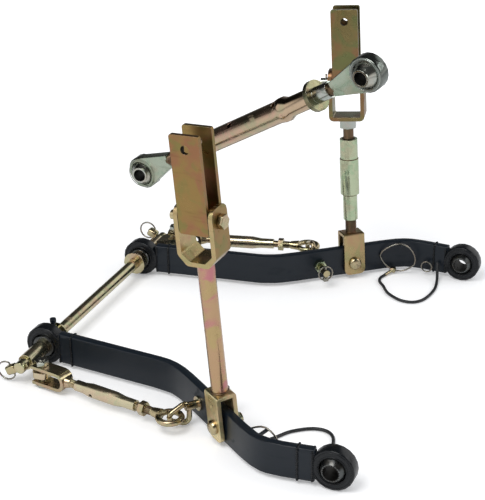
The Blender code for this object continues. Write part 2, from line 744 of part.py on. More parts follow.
def build_fork(side, sign, frame):
    """A round-ended strap over the bracket's tab, with its bolt, and the stud behind it."""
    half = FORK_OPENING / 2
    outer = half + FORK_STRAP
    nose = -FORK_NOSE
    closed_end = FORK_REACH + FORK_STRAP
    corners = [(nose, -outer), (closed_end, -outer), (closed_end, outer), (nose, outer)]
    strap = slab(side + "_fork", rounded(corners, [0, FORK_CORNER, FORK_CORNER, 0]), FORK_WIDTH)
    place(strap, GOLD, frame)
    strap.matrix_local = side_on()
    open_end = 2 * nose
    corners = [(open_end, -half), (FORK_REACH, -half), (FORK_REACH, half), (open_end, half)]
    bend = FORK_CORNER - FORK_STRAP + SINK
    inside = slab(side + "_fork_inside", rounded(corners, [0, bend, bend, 0]), FORK_WIDTH * 2)
    place(inside, GOLD, frame)
    inside.matrix_local = side_on()
    cut(strap, inside)
    length = TUBE_START + FORK_STUD_IN - closed_end + SINK
    stud = round_bar(side + "_fork_stud", STUD_RADIUS, length)
    place(stud, GOLD, frame, (closed_end - SINK + length / 2, 0, 0), (1, 0, 0))
    join(strap, stud)
    boss = round_bar(
        side + "_fork_boss", FORK_BOSS_RADIUS, FORK_BOSS_LENGTH, end_radius=STUD_RADIUS + SINK
    )
    place(boss, GOLD, frame, (closed_end + FORK_BOSS_LENGTH / 2 - SINK, 0, 0), (1, 0, 0))
    join(strap, boss)
    hole = round_bar(side + "_fork_hole", FORK_BOLT_RADIUS + RUNNING_GAP, 4 * outer)
    place(hole, GOLD, frame)
    cut(strap, hole)
    top = outer + FORK_NUT_HEIGHT + BOLT_TIP
    bottom = outer + FORK_HEAD_HEIGHT / 2
    bolt = round_bar(side + "_fork_bolt", FORK_BOLT_RADIUS, top + bottom, segments=FINE)
    place(bolt, SILVER, frame, (0, 0, (top - bottom) / 2))
    for ending, height, facing in (("nut", FORK_NUT_HEIGHT, 1), ("head", FORK_HEAD_HEIGHT, -1)):
        end = hexagon(f"{side}_fork_bolt_{ending}", FORK_NUT_FLATS, height)
        soften(end, NUT_EDGE)
        place(end, SILVER, frame, (0, 0, facing * (outer + RUNNING_GAP + height / 2)))
        join(bolt, end)


def build_stabiliser_tube(side, frame):
    bore = STUD_RADIUS + RUNNING_GAP
    end = TUBE_LENGTH
    profile = [
        (TUBE_RADIUS, end),
        (TUBE_RADIUS, end * 0.80),
        (TUBE_BELLY, end * 0.66),
        (TUBE_BELLY, end * 0.26),
        (TUBE_RADIUS, end * 0.14),
        (TUBE_RADIUS, 0),
        (bore, 0),
        (bore, end),
    ]
    tube = turned(side + "_stabiliser_tube", profile, closed=True, steps=FINE)
    place(tube, GOLD, frame, (TUBE_START, 0, 0), (1, 0, 0))
    hole = round_bar(side + "_tube_hole", TUBE_HOLE_RADIUS, 4 * TUBE_BELLY, segments=SMALL)
    place(hole, GOLD, frame, (TUBE_START + end * 0.3, 0, 0), (0, 1, 0.25))
    cut(tube, hole)


def build_stabiliser_eye(side, frame, length):
    ring_steps = 16
    turns = [2 * math.pi * step / ring_steps for step in range(ring_steps)]
    loop = [(EYE_LOOP_RADIUS * math.cos(turn), EYE_LOOP_RADIUS * math.sin(turn), 0) for turn in turns]
    eye = wire(side + "_stabiliser_eye", loop, EYE_WIRE, cyclic=True, sides=CORD_SIDES)
    place(eye, GOLD, frame, (length, 0, 0))
    back = length - EYE_LOOP_RADIUS
    neck = round_bar(
        side + "_eye_neck", STUD_RADIUS + SINK, EYE_NECK_LENGTH, end_radius=EYE_NECK_RADIUS
    )
    place(neck, GOLD, frame, (back - EYE_NECK_LENGTH / 2 + SINK, 0, 0), (1, 0, 0))
    join(eye, neck)
    inner_end = TUBE_START + TUBE_LENGTH - EYE_STUD_IN
    stud_length = back - EYE_NECK_LENGTH + 3 * SINK - inner_end
    stud = round_bar(side + "_eye_stud", STUD_RADIUS, stud_length)
    place(stud, GOLD, frame, (inner_end + stud_length / 2, 0, 0), (1, 0, 0))
    join(eye, stud)
    middle = TUBE_START + TUBE_LENGTH + LOCK_NUT_GAP + LOCK_NUT_HEIGHT / 2
    lock, bore = nut(side + "_stabiliser_nut", LOCK_NUT_FLATS, LOCK_NUT_HEIGHT, STUD_RADIUS)
    place(lock, PALE, frame, (middle, 0, 0), (1, 0, 0))
    place(bore, PALE, frame, (middle, 0, 0), (1, 0, 0))
    cut(lock, bore)


def build_arm_eye(side, sign, arm_frame):
    """The arm's eye: a rounded triangle of wire linked through the stabiliser's eye."""
    outward = arm_normal(sign)
    axis_point = arm_eye_axis(sign)
    eye = Vector((STABILISER_EYE[0], sign * STABILISER_EYE[1], 0))
    reach = (eye - axis_point).length
    across = Vector((0, 0, sign)).cross(-outward)
    matrix = Matrix((-outward, across, (0, 0, sign))).transposed().to_4x4()
    local = arm_frame.matrix_world.inverted() @ Matrix.Translation(eye) @ matrix
    corner = ARM_EYE_CORNER
    tip = corner - SINK
    base = tip + ARM_EYE_LENGTH
    half = ARM_EYE_HEIGHT / 2
    corners = arc_hull([(tip, 0), (base, half), (base, -half)], corner, 4)
    loop = [(x, 0, z + STABILISER_DROP) for x, z in corners]
    piece = wire(side + "_arm_eye", loop, ARM_EYE_WIRE, cyclic=True, sides=CORD_SIDES)
    place(piece, GOLD, arm_frame)
    piece.matrix_local = local
    start = base + corner * 0.2
    tail = reach + ARM_THICKNESS / 2 + ARM_EYE_TAIL
    shank = round_bar(side + "_arm_eye_shank", ARM_EYE_SHANK, tail - start)
    place(shank, GOLD, arm_frame)
    shank.matrix_local = local @ Matrix.Translation(((start + tail) / 2, 0, 0)) @ along((1, 0, 0))
    join(piece, shank)
    shoulder = reach - ARM_THICKNESS / 2 - RUNNING_GAP
    collar = round_bar(side + "_arm_eye_collar", ARM_EYE_WASHER, ARM_EYE_WASHER_THICKNESS)
    place(collar, GOLD, arm_frame)
    seat = Matrix.Translation((shoulder - ARM_EYE_WASHER_THICKNESS / 2, 0, 0))
    collar.matrix_local = local @ seat @ along((1, 0, 0))
    join(piece, collar)
    pin_x = tail - TAIL_PIN_IN
    hole = round_bar(
        side + "_tail_hole", TAIL_PIN_RADIUS + RUNNING_GAP, 4 * ARM_EYE_SHANK, segments=SMALL
    )
    place(hole, GOLD, arm_frame)
    hole.matrix_local = local @ Matrix.Translation((pin_x, 0, 0))
    cut(piece, hole)
    length = 2 * (ARM_EYE_SHANK + TAIL_PIN_OUT)
    pin = round_bar(side + "_tail_pin", TAIL_PIN_RADIUS, length, segments=SMALL)
    place(pin, STEEL, arm_frame)
    pin.matrix_local = local @ Matrix.Translation((pin_x, 0, 0))
    turns = [2 * math.pi * step / 14 for step in range(14)]
    loop = [(0, TAIL_BAIL_RADIUS * math.cos(turn), TAIL_BAIL_RADIUS * math.sin(turn)) for turn in turns]
    ring = wire(side + "_tail_bail", loop, BAIL_WIRE, cyclic=True)
    place(ring, STEEL, arm_frame)
    ring.matrix_local = local @ Matrix.Translation((pin_x, 0, -BAIL_WIRE))
    join(pin, ring)
    head = linch_head(side + "_tail_head", TAIL_HEAD)
    place(head, STEEL, arm_frame)
    head.matrix_local = local @ Matrix.Translation((pin_x, 0, -TAIL_BAIL_RADIUS))
    join(pin, head)
    inner_face = reach + ARM_THICKNESS / 2 + RUNNING_GAP
    washer, bore = nut(side + "_arm_eye_nut", LOCK_NUT_FLATS, LOCK_NUT_HEIGHT, ARM_EYE_SHANK)
    for piece in (washer, bore):
        place(piece, PALE, arm_frame)
        step = Matrix.Translation((inner_face + LOCK_NUT_HEIGHT / 2, 0, 0))
        piece.matrix_local = local @ step @ along((1, 0, 0))
    cut(washer, bore)


def arc_hull(centres, radius, steps):
    """The line round equal circles at these centres."""
    outline = []
    count = len(centres)
    area = sum(
        centres[i - 1][0] * centres[i][1] - centres[i][0] * centres[i - 1][1] for i in range(count)
    )
    ordered = centres if area > 0 else centres[::-1]
    for i, centre in enumerate(ordered):
        before = Vector(centre) - Vector(ordered[i - 1])
        after = Vector(ordered[(i + 1) % count]) - Vector(centre)
        first = math.atan2(-before.x, before.y)
        last = math.atan2(-after.x, after.y)
        sweep = (last - first) % (2 * math.pi)
        for step in range(steps + 1):
            turn = first + sweep * step / steps
            outline.append((centre[0] + radius * math.cos(turn), centre[1] + radius * math.sin(turn)))
    return outline


# Lift rods

def rod_matrix(sign):
    """At the foot's bolt: Y along the bolt, Z up the rod."""
    foot = arm_point(ROD_FOOT_X)
    origin = Vector((foot[0], sign * (ARM_SPREAD + foot[1]), ROD_FOOT_Z))
    up = Vector((ROD_LEAN[0], sign * ROD_LEAN[1], ROD_LEAN[2])).normalized()
    outward = arm_normal(sign)
    bolt = (outward - up * outward.dot(up)).normalized()
    return Matrix.Translation(origin) @ Matrix((bolt.cross(up), bolt, up)).transposed().to_4x4()


def build_foot(name, material, frame):
    """The upturned strap that sits over the arm."""
    half = FOOT_OUTER / 2
    inner = half - FOOT_STRAP
    corners = [(-half, -FOOT_BELOW), (half, -FOOT_BELOW), (half, FOOT_ABOVE), (-half, FOOT_ABOVE)]
    strap = slab(name, rounded(corners, [0, 0, FOOT_TOP_CORNER, FOOT_TOP_CORNER], 2), FOOT_WIDTH)
    place(strap, material, frame)
    strap.matrix_local = end_on()
    below = -2 * FOOT_BELOW
    top = FOOT_ABOVE - FOOT_STRAP
    corners = [(-inner, below), (inner, below), (inner, top), (-inner, top)]
    inside = slab(name + "_inside", corners, 2 * FOOT_WIDTH)
    place(inside, material, frame)
    inside.matrix_local = end_on()
    cut(strap, inside)
    wide = FOOT_WIDTH / 2
    corners = [(-wide, -FOOT_BELOW), (wide, -FOOT_BELOW), (wide, FOOT_ABOVE), (-wide, FOOT_ABOVE)]
    radii = [FOOT_TIP_CORNER, FOOT_TIP_CORNER, BOLT_TIP, BOLT_TIP]
    face = slab(name + "_face", rounded(corners, radii), FOOT_OUTER * 1.5)
    place(face, material, frame)
    face.matrix_local = side_on()
    trim(strap, face)
    hole = round_bar(name + "_hole", FOOT_BOLT_RADIUS + RUNNING_GAP, 2 * FOOT_OUTER)
    place(hole, material, frame, direction=(0, 1, 0))
    cut(strap, hole)
    return strap


def end_on():
    """Turns an outline in XY to face along X, with its Y up."""
    return Matrix(((0, 0, 1, 0), (1, 0, 0, 0), (0, 1, 0, 0), (0, 0, 0, 1)))


def side_on():
    """Turns an outline in XY to face along -Y, with its Y up."""
    return Matrix.Rotation(math.radians(90), 4, "X")


def build_foot_bolt(side, frame, sign):
    """Both bolts have their heads on the -Y side."""
    half = FOOT_OUTER / 2
    facing = -sign
    length = FOOT_OUTER + 2 * FOOT_BOLT_RADIUS
    shaft = round_bar(side + "_foot_bolt", FOOT_BOLT_RADIUS, length)
    out = length / 2 - half - SINK
    place(shaft, GOLD, frame, (0, -facing * out, 0), (0, 1, 0))
    head = turned(
        side + "_foot_bolt_head",
        [
            (0, FOOT_HEAD_HEIGHT),
            (FOOT_HEAD_RADIUS * 0.72, FOOT_HEAD_HEIGHT * 0.9),
            (FOOT_HEAD_RADIUS, FOOT_HEAD_HEIGHT * 0.5),
            (FOOT_HEAD_RADIUS, 0),
            (0, 0),
        ],
        steps=FINE,
    )
    place(head, GOLD, frame, (0, facing * (half + RUNNING_GAP), 0), (0, facing, 0))
    join(shaft, head)
    piece, bore = nut(side + "_foot_nut", FOOT_NUT_FLATS, FOOT_NUT_HEIGHT, FOOT_BOLT_RADIUS)
    middle = -facing * (half + RUNNING_GAP + FOOT_NUT_HEIGHT / 2)
    place(piece, PALE, frame, (0, middle, 0), (0, 1, 0))
    place(bore, PALE, frame, (0, middle, 0), (0, 1, 0))
    cut(piece, bore)


def yoke_outline(half, low, high, taper, corner):
    """An open U, with a square bottom or one that tapers to the rod."""
    if not taper:
        corners = [(-half, high), (-half, low), (half, low), (half, high)]
        return rounded(corners, [0, corner, corner, 0])
    inward, upward = taper
    corners = [
        (-half, high),
        (-half, low + upward),
        (-half + inward, low),
        (half - inward, low),
        (half, low + upward),
        (half, high),
    ]
    return rounded(corners, [0, corner, corner * 0.8, corner * 0.8, corner, 0], 2)


def build_yoke(name, material, frame, taper):
    """The open strap at the rod's head, in the yoke's own frame with its bolt along X."""
    half = YOKE_OUTER / 2
    inner = half - YOKE_STRAP
    low = YOKE_BOTTOM - YOKE_BOLT_HEIGHT
    strap = slab(name, yoke_outline(half, low, YOKE_ABOVE, taper, YOKE_CORNER), YOKE_WIDTH)
    place(strap, material, frame)
    strap.matrix_local = side_on()
    bend = YOKE_CORNER - YOKE_STRAP + SINK
    if taper:
        taper = (taper[0] * 0.92, taper[1] - YOKE_STRAP * 0.55)
        bend = YOKE_CORNER / 2
    hollow = yoke_outline(inner, low + YOKE_STRAP, 2 * YOKE_ABOVE, taper, bend)
    inside = slab(name + "_inside", hollow, YOKE_WIDTH * 2)
    place(inside, material, frame)
    inside.matrix_local = side_on()
    cut(strap, inside)
    wide = YOKE_WIDTH / 2
    corners = [(-wide, low - SINK), (wide, low - SINK), (wide, YOKE_ABOVE), (-wide, YOKE_ABOVE)]
    outline = rounded(corners, [0, 0, YOKE_TIP_CORNER, YOKE_TIP_CORNER])
    face = slab(name + "_face", outline, 2 * YOKE_OUTER)
    place(face, material, frame)
    face.matrix_local = end_on()
    trim(strap, face)
    hole = round_bar(name + "_hole", YOKE_BOLT_RADIUS + RUNNING_GAP, 2 * YOKE_OUTER)
    place(hole, material, frame, direction=(1, 0, 0))
    cut(strap, hole)
    return strap


def build_link(side, frame):
    """Two plates on a sleeve, hung on the yoke's bolt and drilled for the tractor's lift arm."""
    length = YOKE_OUTER - 2 * YOKE_STRAP - 2 * RUNNING_GAP
    inside = LINK_OUTER / 2 - LINK_PLATE
    bore = YOKE_BOLT_RADIUS + RUNNING_GAP
    sleeve = round_bar(side + "_link", inside + SINK, length, segments=ROUND)
    place(sleeve, GOLD, frame, direction=(1, 0, 0))
    half = length / 2 - 2 * RUNNING_GAP
    corners = [(-half, -LINK_BELOW), (half, -LINK_BELOW), (half, LINK_ABOVE), (-half, LINK_ABOVE)]
    for sign in (-1, 1):
        plate = slab(f"{side}_plate_{sign + 2}", rounded(corners, [LINK_CORNER] * 4, 2), LINK_PLATE)
        place(plate, GOLD, frame)
        offset = Matrix.Translation((0, sign * (LINK_OUTER - LINK_PLATE) / 2, 0))
        plate.matrix_local = offset @ side_on()
        join(sleeve, plate)
    hole = round_bar(side + "_link_bore", bore, 2 * length)
    place(hole, GOLD, frame, direction=(1, 0, 0))
    cut(sleeve, hole)
    hole = round_bar(side + "_link_hole", LINK_HOLE_RADIUS, 2 * LINK_OUTER)
    place(hole, GOLD, frame, (0, 0, LINK_ABOVE - LINK_HOLE_DROP), (0, 1, 0))
    cut(sleeve, hole)


def build_yoke_bolt(side, frame):
    half = YOKE_OUTER / 2
    length = YOKE_OUTER + YOKE_BOLT_ENDS
    shaft = round_bar(side + "_yoke_bolt", YOKE_BOLT_RADIUS, length)
    place(shaft, GOLD, frame, (YOKE_NUT_HEIGHT - YOKE_BOLT_ENDS / 2, 0, 0), (1, 0, 0))
    head = hexagon(side + "_yoke_bolt_head", YOKE_NUT_FLATS, YOKE_NUT_HEIGHT)
    soften(head, NUT_EDGE)
    place(head, GOLD, frame, (half + RUNNING_GAP + YOKE_NUT_HEIGHT / 2, 0, 0), (1, 0, 0))
    join(shaft, head)
    washer = round_bar(side + "_yoke_washer", YOKE_NUT_FLATS / 2, YOKE_WASHER)
    place(washer, GOLD, frame, (-half - RUNNING_GAP - YOKE_WASHER / 2, 0, 0), (1, 0, 0))
    join(shaft, washer)
    cotter = round_bar(side + "_yoke_cotter", COTTER_RADIUS, 4 * YOKE_BOLT_RADIUS, segments=SMALL)
    place(cotter, GOLD, frame, (-half - YOKE_WASHER - 2 * COTTER_RADIUS, 0, 0), (0, 0.4, 1))
    join(shaft, cotter)


def yoke_frame(side, rod):
    """At the yoke's bolt, turned about the rod until the bolt lies nearly along the tractor."""
    up = rod.matrix_world.col[2].to_3d()
    rear = Vector((1, 0, 0))
    flat = (rear - up * rear.dot(up)).normalized()
    turned_to = Matrix.Rotation(YOKE_TURN[side], 3, up) @ flat
    origin = rod.matrix_world.translation + up * YOKE_BOLT_HEIGHT
    matrix = Matrix((turned_to, up.cross(turned_to), up)).transposed().to_4x4()
    return joint_frame(side + "_link_hinge", Matrix.Translation(origin) @ matrix)


def build_left_rod(rod):
    foot = build_foot("left_rod", GOLD, rod)
    length = YOKE_BOTTOM - FOOT_ABOVE + 2 * SINK
    bar = round_bar("left_rod_bar", LEFT_ROD_RADIUS, length)
    place(bar, GOLD, rod, (0, 0, FOOT_ABOVE - SINK + length / 2))
    join(foot, bar)
    yoke = yoke_frame("left", rod)
    strap = build_yoke("left_yoke", GOLD, yoke, YOKE_TAPER["left"])
    join(foot, strap)
    return yoke


def build_right_rod(rod):
    foot = build_foot("right_foot", GOLD, rod)
    screw = round_bar("right_foot_screw", SCREW_RADIUS, FOOT_SCREW_LENGTH)
    place(screw, GOLD, rod, (0, 0, FOOT_ABOVE - SINK + FOOT_SCREW_LENGTH / 2))
    join(foot, screw)
    bore = SCREW_RADIUS + RUNNING_GAP
    low, high = SCREW_BODY_BOTTOM, SCREW_BODY_TOP
    profile = [
        (SCREW_BODY_HEAD, high),
        (SCREW_BODY_HEAD, high - SCREW_BODY_HEAD_LENGTH),
        (SCREW_BODY_RADIUS, high - SCREW_BODY_HEAD_LENGTH - SCREW_BODY_STEP),
        (SCREW_BODY_RADIUS, low + SCREW_BODY_WAIST_LENGTH + SCREW_BODY_STEP),
        (SCREW_BODY_WAIST, low + SCREW_BODY_WAIST_LENGTH),
        (SCREW_BODY_WAIST, low),
        (bore, low),
        (bore, high),
    ]
    body = turned("right_barrel", profile, closed=True)
    place(body, PALE, rod)
    window = round_bar("right_barrel_window", SCREW_WINDOW, 4 * SCREW_BODY_RADIUS, segments=SMALL)
    place(window, PALE, rod, (0, 0, (low + high) / 2), (0.9, -0.4, 0))
    cut(body, window)
    yoke = yoke_frame("right", rod)
    strap = build_yoke("right_yoke", GOLD, yoke, YOKE_TAPER["right"])
    inner_end = high - YOKE_SCREW_IN
    length = YOKE_BOTTOM + SINK - inner_end
    screw = round_bar("right_yoke_screw", SCREW_RADIUS, length)
    place(screw, GOLD, yoke, (0, 0, (YOKE_BOTTOM + SINK + inner_end) / 2 - YOKE_BOLT_HEIGHT))
    join(strap, screw)
    piece, bore = nut("right_rod_nut", SCREW_NUT_FLATS, SCREW_NUT_HEIGHT, SCREW_RADIUS)
    middle = YOKE_BOTTOM - RUNNING_GAP - SCREW_NUT_HEIGHT / 2 - YOKE_BOLT_HEIGHT
    place(piece, PALE, yoke, (0, 0, middle))
    place(bore, PALE, yoke, (0, 0, middle))
    cut(piece, bore)
    return yoke


# Top link

def top_matrix():
    pitch = Matrix.Rotation(-TOP_PITCH, 4, "Y")
    return Matrix.Translation(TOP_FRONT) @ pitch @ Matrix.Rotation(TOP_YAW, 4, "Z")


def build_top_eye(name, frame, distance, facing, stud_to):
    """A ring for the ball, a flat drop-shaped neck and the threaded stud, facing the barrel."""
    ring = socket_ring(name, TOP_RING_RADIUS, TOP_RING_THICKNESS, TOP_BALL_RADIUS)
    place(ring, SILVER, frame, (distance, 0, 0), (0, 1, 0))
    wide = TOP_RING_RADIUS - SINK
    lean = math.acos((wide - TOP_EYE_NOSE) / TOP_EYE_NECK)
    nose = TOP_EYE_NECK + TOP_EYE_NOSE * math.cos(lean)
    drop = [
        (wide * math.cos(lean), wide * math.sin(lean)),
        (nose, TOP_EYE_NOSE * math.sin(lean)),
        (nose, -TOP_EYE_NOSE * math.sin(lean)),
        (wide * math.cos(lean), -wide * math.sin(lean)),
    ]
    within = TOP_BALL_RADIUS + BALL_PLAY + SINK
    for step in range(5):
        turn = lean * (step / 2 - 1) * 0.98
        drop.append((within * math.cos(turn), within * math.sin(turn)))
    drop = [(distance + facing * x, y) for x, y in drop]
    neck = slab(name + "_neck", drop, TOP_EYE_PLATE)
    soften(neck, TOP_EYE_EDGE)
    place(neck, SILVER, frame)
    neck.matrix_local = side_on()
    join(ring, neck)
    start = distance + facing * (TOP_EYE_NECK - SINK)
    stud = round_bar(name + "_stud", TOP_STUD_RADIUS, abs(stud_to - start))
    place(stud, SILVER, frame, ((start + stud_to) / 2, 0, 0), (1, 0, 0))
    join(ring, stud)


def build_top_link():
    origin = top_matrix()
    place(
        ball("top_front_ball", TOP_BALL_RADIUS, TOP_BALL_WIDTH, TOP_BORE, TOP_BALL_SLEEVE),
        SILVER,
        joint_frame("top_pitch", Matrix.Translation(TOP_FRONT)),
        direction=(0, 1, 0),
    )
    frame = joint_frame("top_yaw", origin)
    build_top_eye("top_front_eye", frame, 0, 1, TOP_BODY_START + TOP_STUD_IN)
    build_top_eye("top_rear_eye", frame, TOP_LENGTH, -1, TOP_BODY_END - TOP_STUD_IN)
    bore = TOP_STUD_RADIUS + RUNNING_GAP
    profile = [
        (TOP_BODY_END_RADIUS, TOP_BODY_END),
        (TOP_BODY_END_RADIUS, TOP_BUMP + TOP_BUMP_SLOPE),
        (TOP_BUMP_RADIUS, TOP_BUMP + TOP_BUMP_FLAT),
        (TOP_BUMP_RADIUS, TOP_BUMP - TOP_BUMP_FLAT),
        (TOP_BODY_RADIUS, TOP_BUMP - TOP_BUMP_SLOPE),
        (TOP_BODY_RADIUS, TOP_BODY_START + TOP_BODY_SHOULDER + TOP_BUMP_SLOPE),
        (TOP_BODY_END_RADIUS, TOP_BODY_START + TOP_BODY_SHOULDER),
        (TOP_BODY_END_RADIUS, TOP_BODY_START),
        (bore, TOP_BODY_START),
        (bore, TOP_BODY_END),
    ]
    body = turned("top_barrel", profile, closed=True)
    place(body, GOLD, frame, direction=(1, 0, 0))
    for number, distance in enumerate(TOP_HOLES):
        name = f"top_barrel_hole_{number + 1}"
        hole = round_bar(name, TOP_HOLE_RADIUS, 4 * TOP_BODY_RADIUS, segments=SMALL)
        place(hole, GOLD, frame, (distance, 0, 0), (0, -0.6, 0.8))
        cut(body, hole)
    start = TOP_BODY_END + TOP_COLLAR_GAP
    profile = [
        (TOP_COLLAR_SLEEVE, TOP_COLLAR_LENGTH),
        (TOP_COLLAR_SLEEVE, TOP_COLLAR_THICKNESS),
        (TOP_COLLAR_RADIUS, TOP_COLLAR_THICKNESS),
        (TOP_COLLAR_RADIUS, 0),
        (bore, 0),
        (bore, TOP_COLLAR_LENGTH),
    ]
    collar = turned("top_lock_collar", profile, closed=True)
    place(collar, PALE, frame, (start, 0, 0), (1, 0, 0))
    rear = joint_frame("top_rear_swivel", origin @ Matrix.Translation((TOP_LENGTH, 0, 0)))
    rear_ball = ball("top_rear_ball", TOP_BALL_RADIUS, TOP_BALL_WIDTH, TOP_BORE, TOP_BALL_SLEEVE)
    place(rear_ball, SILVER, rear, direction=(0, 1, 0))


# Linch pins on their lanyards

def smooth_route(points, count):
    """Points read at even steps along a smooth curve through the route's own points."""
    route = [Vector(point) for point in points]
    ends = [2 * route[0] - route[1], *route, 2 * route[-1] - route[-2]]
    curve = []
    for i in range(len(route) - 1):
        p0, p1, p2, p3 = ends[i : i + 4]
        for step in range(12):
            t = step / 12
            curve.append(
                0.5 * (2 * p1 + (p2 - p0) * t + (2 * p0 - 5 * p1 + 4 * p2 - p3) * t * t
                + (3 * p1 - p0 - 3 * p2 + p3) * t * t * t)
            )
    curve.append(route[-1])
    lengths = [0.0]
    for a, b in zip(curve, curve[1:]):
        lengths.append(lengths[-1] + (b - a).length)
    found = []
    for k in range(count):
        target = lengths[-1] * k / (count - 1)
        i = min(max(j for j, length in enumerate(lengths) if length <= target), len(curve) - 2)
        share = (target - lengths[i]) / (lengths[i + 1] - lengths[i])
        found.append(curve[i].lerp(curve[i + 1], min(share, 1)))
    return found


def build_lanyard(side, sign, arm_frame):
    points = smooth_route([near_bend(sign, *point) for point in LANYARD_POINTS], LANYARD_STATIONS)
    cord = wire(side + "_lanyard", points, LANYARD_RADIUS, sides=CORD_SIDES)
    place(cord, CORD, arm_frame)
    outline = [near_bend(sign, x, bail_inward(x), z) for x, z in BAIL_OUTLINE]
    shape = smooth_route(outline + outline[:1], BAIL_STATIONS + 1)[:-1]
    ring = wire(side + "_lanyard_bail", shape, BAIL_WIRE, cyclic=True)
    place(ring, STEEL, arm_frame)
    rearward, height = LANYARD_PIN_AT
    head_at = near_bend(sign, rearward, bail_inward(rearward), height)
    head = linch_head(side + "_lanyard_pin", LANYARD_PIN_HEAD)
    place(head, GOLD, arm_frame, head_at)
    run = points[0] - head_at
    reach = run.length - CORD_END_GAP
    direction = run.normalized()
    pin = round_bar(side + "_lanyard_pin_shaft", LANYARD_PIN_RADIUS, reach, segments=SMALL)
    place(pin, GOLD, arm_frame, head_at + direction * reach / 2, direction)
    join(head, pin)
    eye = wire(side + "_lanyard_pin_eye", shape, BAIL_WIRE + RUNNING_GAP, cyclic=True)
    place(eye, GOLD, arm_frame)
    cut(head, eye)
    centre = near_bend(sign, *SPLIT_RING_AT)
    turns = [2 * math.pi * step / 12 for step in range(12)]
    spokes = [Vector((math.cos(turn), 0, math.sin(turn))) for turn in turns]
    loop = [centre + spoke * SPLIT_RING_RADIUS for spoke in spokes]
    split = wire(side + "_split_ring", loop, SPLIT_RING_WIRE, cyclic=True)
    place(split, STEEL, arm_frame)


def build_hitch():
    root = joint_frame("mounting_bar", Matrix.Identity(4))
    build_crossbar(root)
    for side, sign in SIDES.items():
        ball_frame = joint_frame(side + "_lift", Matrix.Translation((0, sign * ARM_SPREAD, 0)))
        bpy.context.view_layer.update()
        front = ball(side + "_front_ball", BALL_RADIUS, FRONT_BALL_WIDTH, BAR_RADIUS + RUNNING_GAP)
        place(front, STEEL, ball_frame, direction=(0, 1, 0))
        arm = build_arm(side, sign, ball_frame)
        build_bracket(root, side, sign)
        matrix, length = stabiliser_frame(sign)
        fork = joint_frame(side + "_fork_swing", matrix)
        build_fork(side, sign, fork)
        build_stabiliser_tube(side, fork)
        build_stabiliser_eye(side, fork, length)
        build_arm_eye(side, sign, arm)
        build_lanyard(side, sign, arm)
        rod = joint_frame(side + "_rod_hinge", rod_matrix(sign))
        bpy.context.view_layer.update()
        yoke = build_left_rod(rod) if side == "left" else build_right_rod(rod)
        build_foot_bolt(side, rod, sign)
        build_link(side, yoke)
        build_yoke_bolt(side, yoke)
    build_top_link()


build_hitch()
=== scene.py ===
# %% [markdown]
# # A rear three point hitch
# A tractor lifts and pulls its implements by three links: two lower arms on a crossbar and
# one top link above them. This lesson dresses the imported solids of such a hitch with
# finishes, threads, welds and cords. All sizes are in metres, +X points rearward to the
# implement and +Z up, and the origin is the middle of the crossbar.

# %% Load the solids
import json
import math
import bmesh
import bpy
from mathutils import Matrix, Vector


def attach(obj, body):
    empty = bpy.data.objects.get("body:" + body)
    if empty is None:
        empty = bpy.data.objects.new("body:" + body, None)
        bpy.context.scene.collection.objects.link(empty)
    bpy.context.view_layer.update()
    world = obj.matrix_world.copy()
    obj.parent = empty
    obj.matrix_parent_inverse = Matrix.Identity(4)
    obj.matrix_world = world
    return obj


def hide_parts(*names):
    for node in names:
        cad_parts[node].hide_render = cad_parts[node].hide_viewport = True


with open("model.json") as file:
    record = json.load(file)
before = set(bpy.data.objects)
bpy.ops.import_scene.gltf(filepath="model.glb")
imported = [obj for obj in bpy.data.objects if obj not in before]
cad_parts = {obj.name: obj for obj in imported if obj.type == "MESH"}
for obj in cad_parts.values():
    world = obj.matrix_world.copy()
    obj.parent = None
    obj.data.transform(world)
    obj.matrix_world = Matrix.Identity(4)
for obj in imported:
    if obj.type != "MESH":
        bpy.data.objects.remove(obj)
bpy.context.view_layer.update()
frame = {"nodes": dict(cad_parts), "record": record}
nodes = frame["nodes"]

# %% [markdown]
# ## The camera
# The photograph was taken from above the left arm with a long lens. A camera is placed by
# its own three axes: right, up and backward. They come from two turns, round and down,
# and a small tilt of the horizon.

# %% Camera
scene = bpy.context.scene
camera_spot = Vector((1.0403, -1.8907, 1.0683))
turn_round, look_down, tilt = (math.radians(a) for a in (22.432, 24.718, -0.83))
ahead = Vector((
    -math.sin(turn_round) * math.cos(look_down),
    math.cos(turn_round) * math.cos(look_down),
    -math.sin(look_down),
))
level_right = Vector((math.cos(turn_round), math.sin(turn_round), 0))
level_up = level_right.cross(ahead)
right = level_right * math.cos(tilt) + level_up * math.sin(tilt)
up = level_up * math.cos(tilt) - level_right * math.sin(tilt)
camera = bpy.data.objects.new("camera", bpy.data.cameras.new("camera"))
scene.collection.objects.link(camera)
axes = Matrix((right, up, -ahead)).transposed().to_4x4()
camera.matrix_world = Matrix.Translation(camera_spot) @ axes
camera.data.sensor_width = 36
camera.data.lens = 104.4
camera.data.clip_start = 0.05
scene.camera = camera
print("camera", camera.location[:], "lens", camera.data.lens)
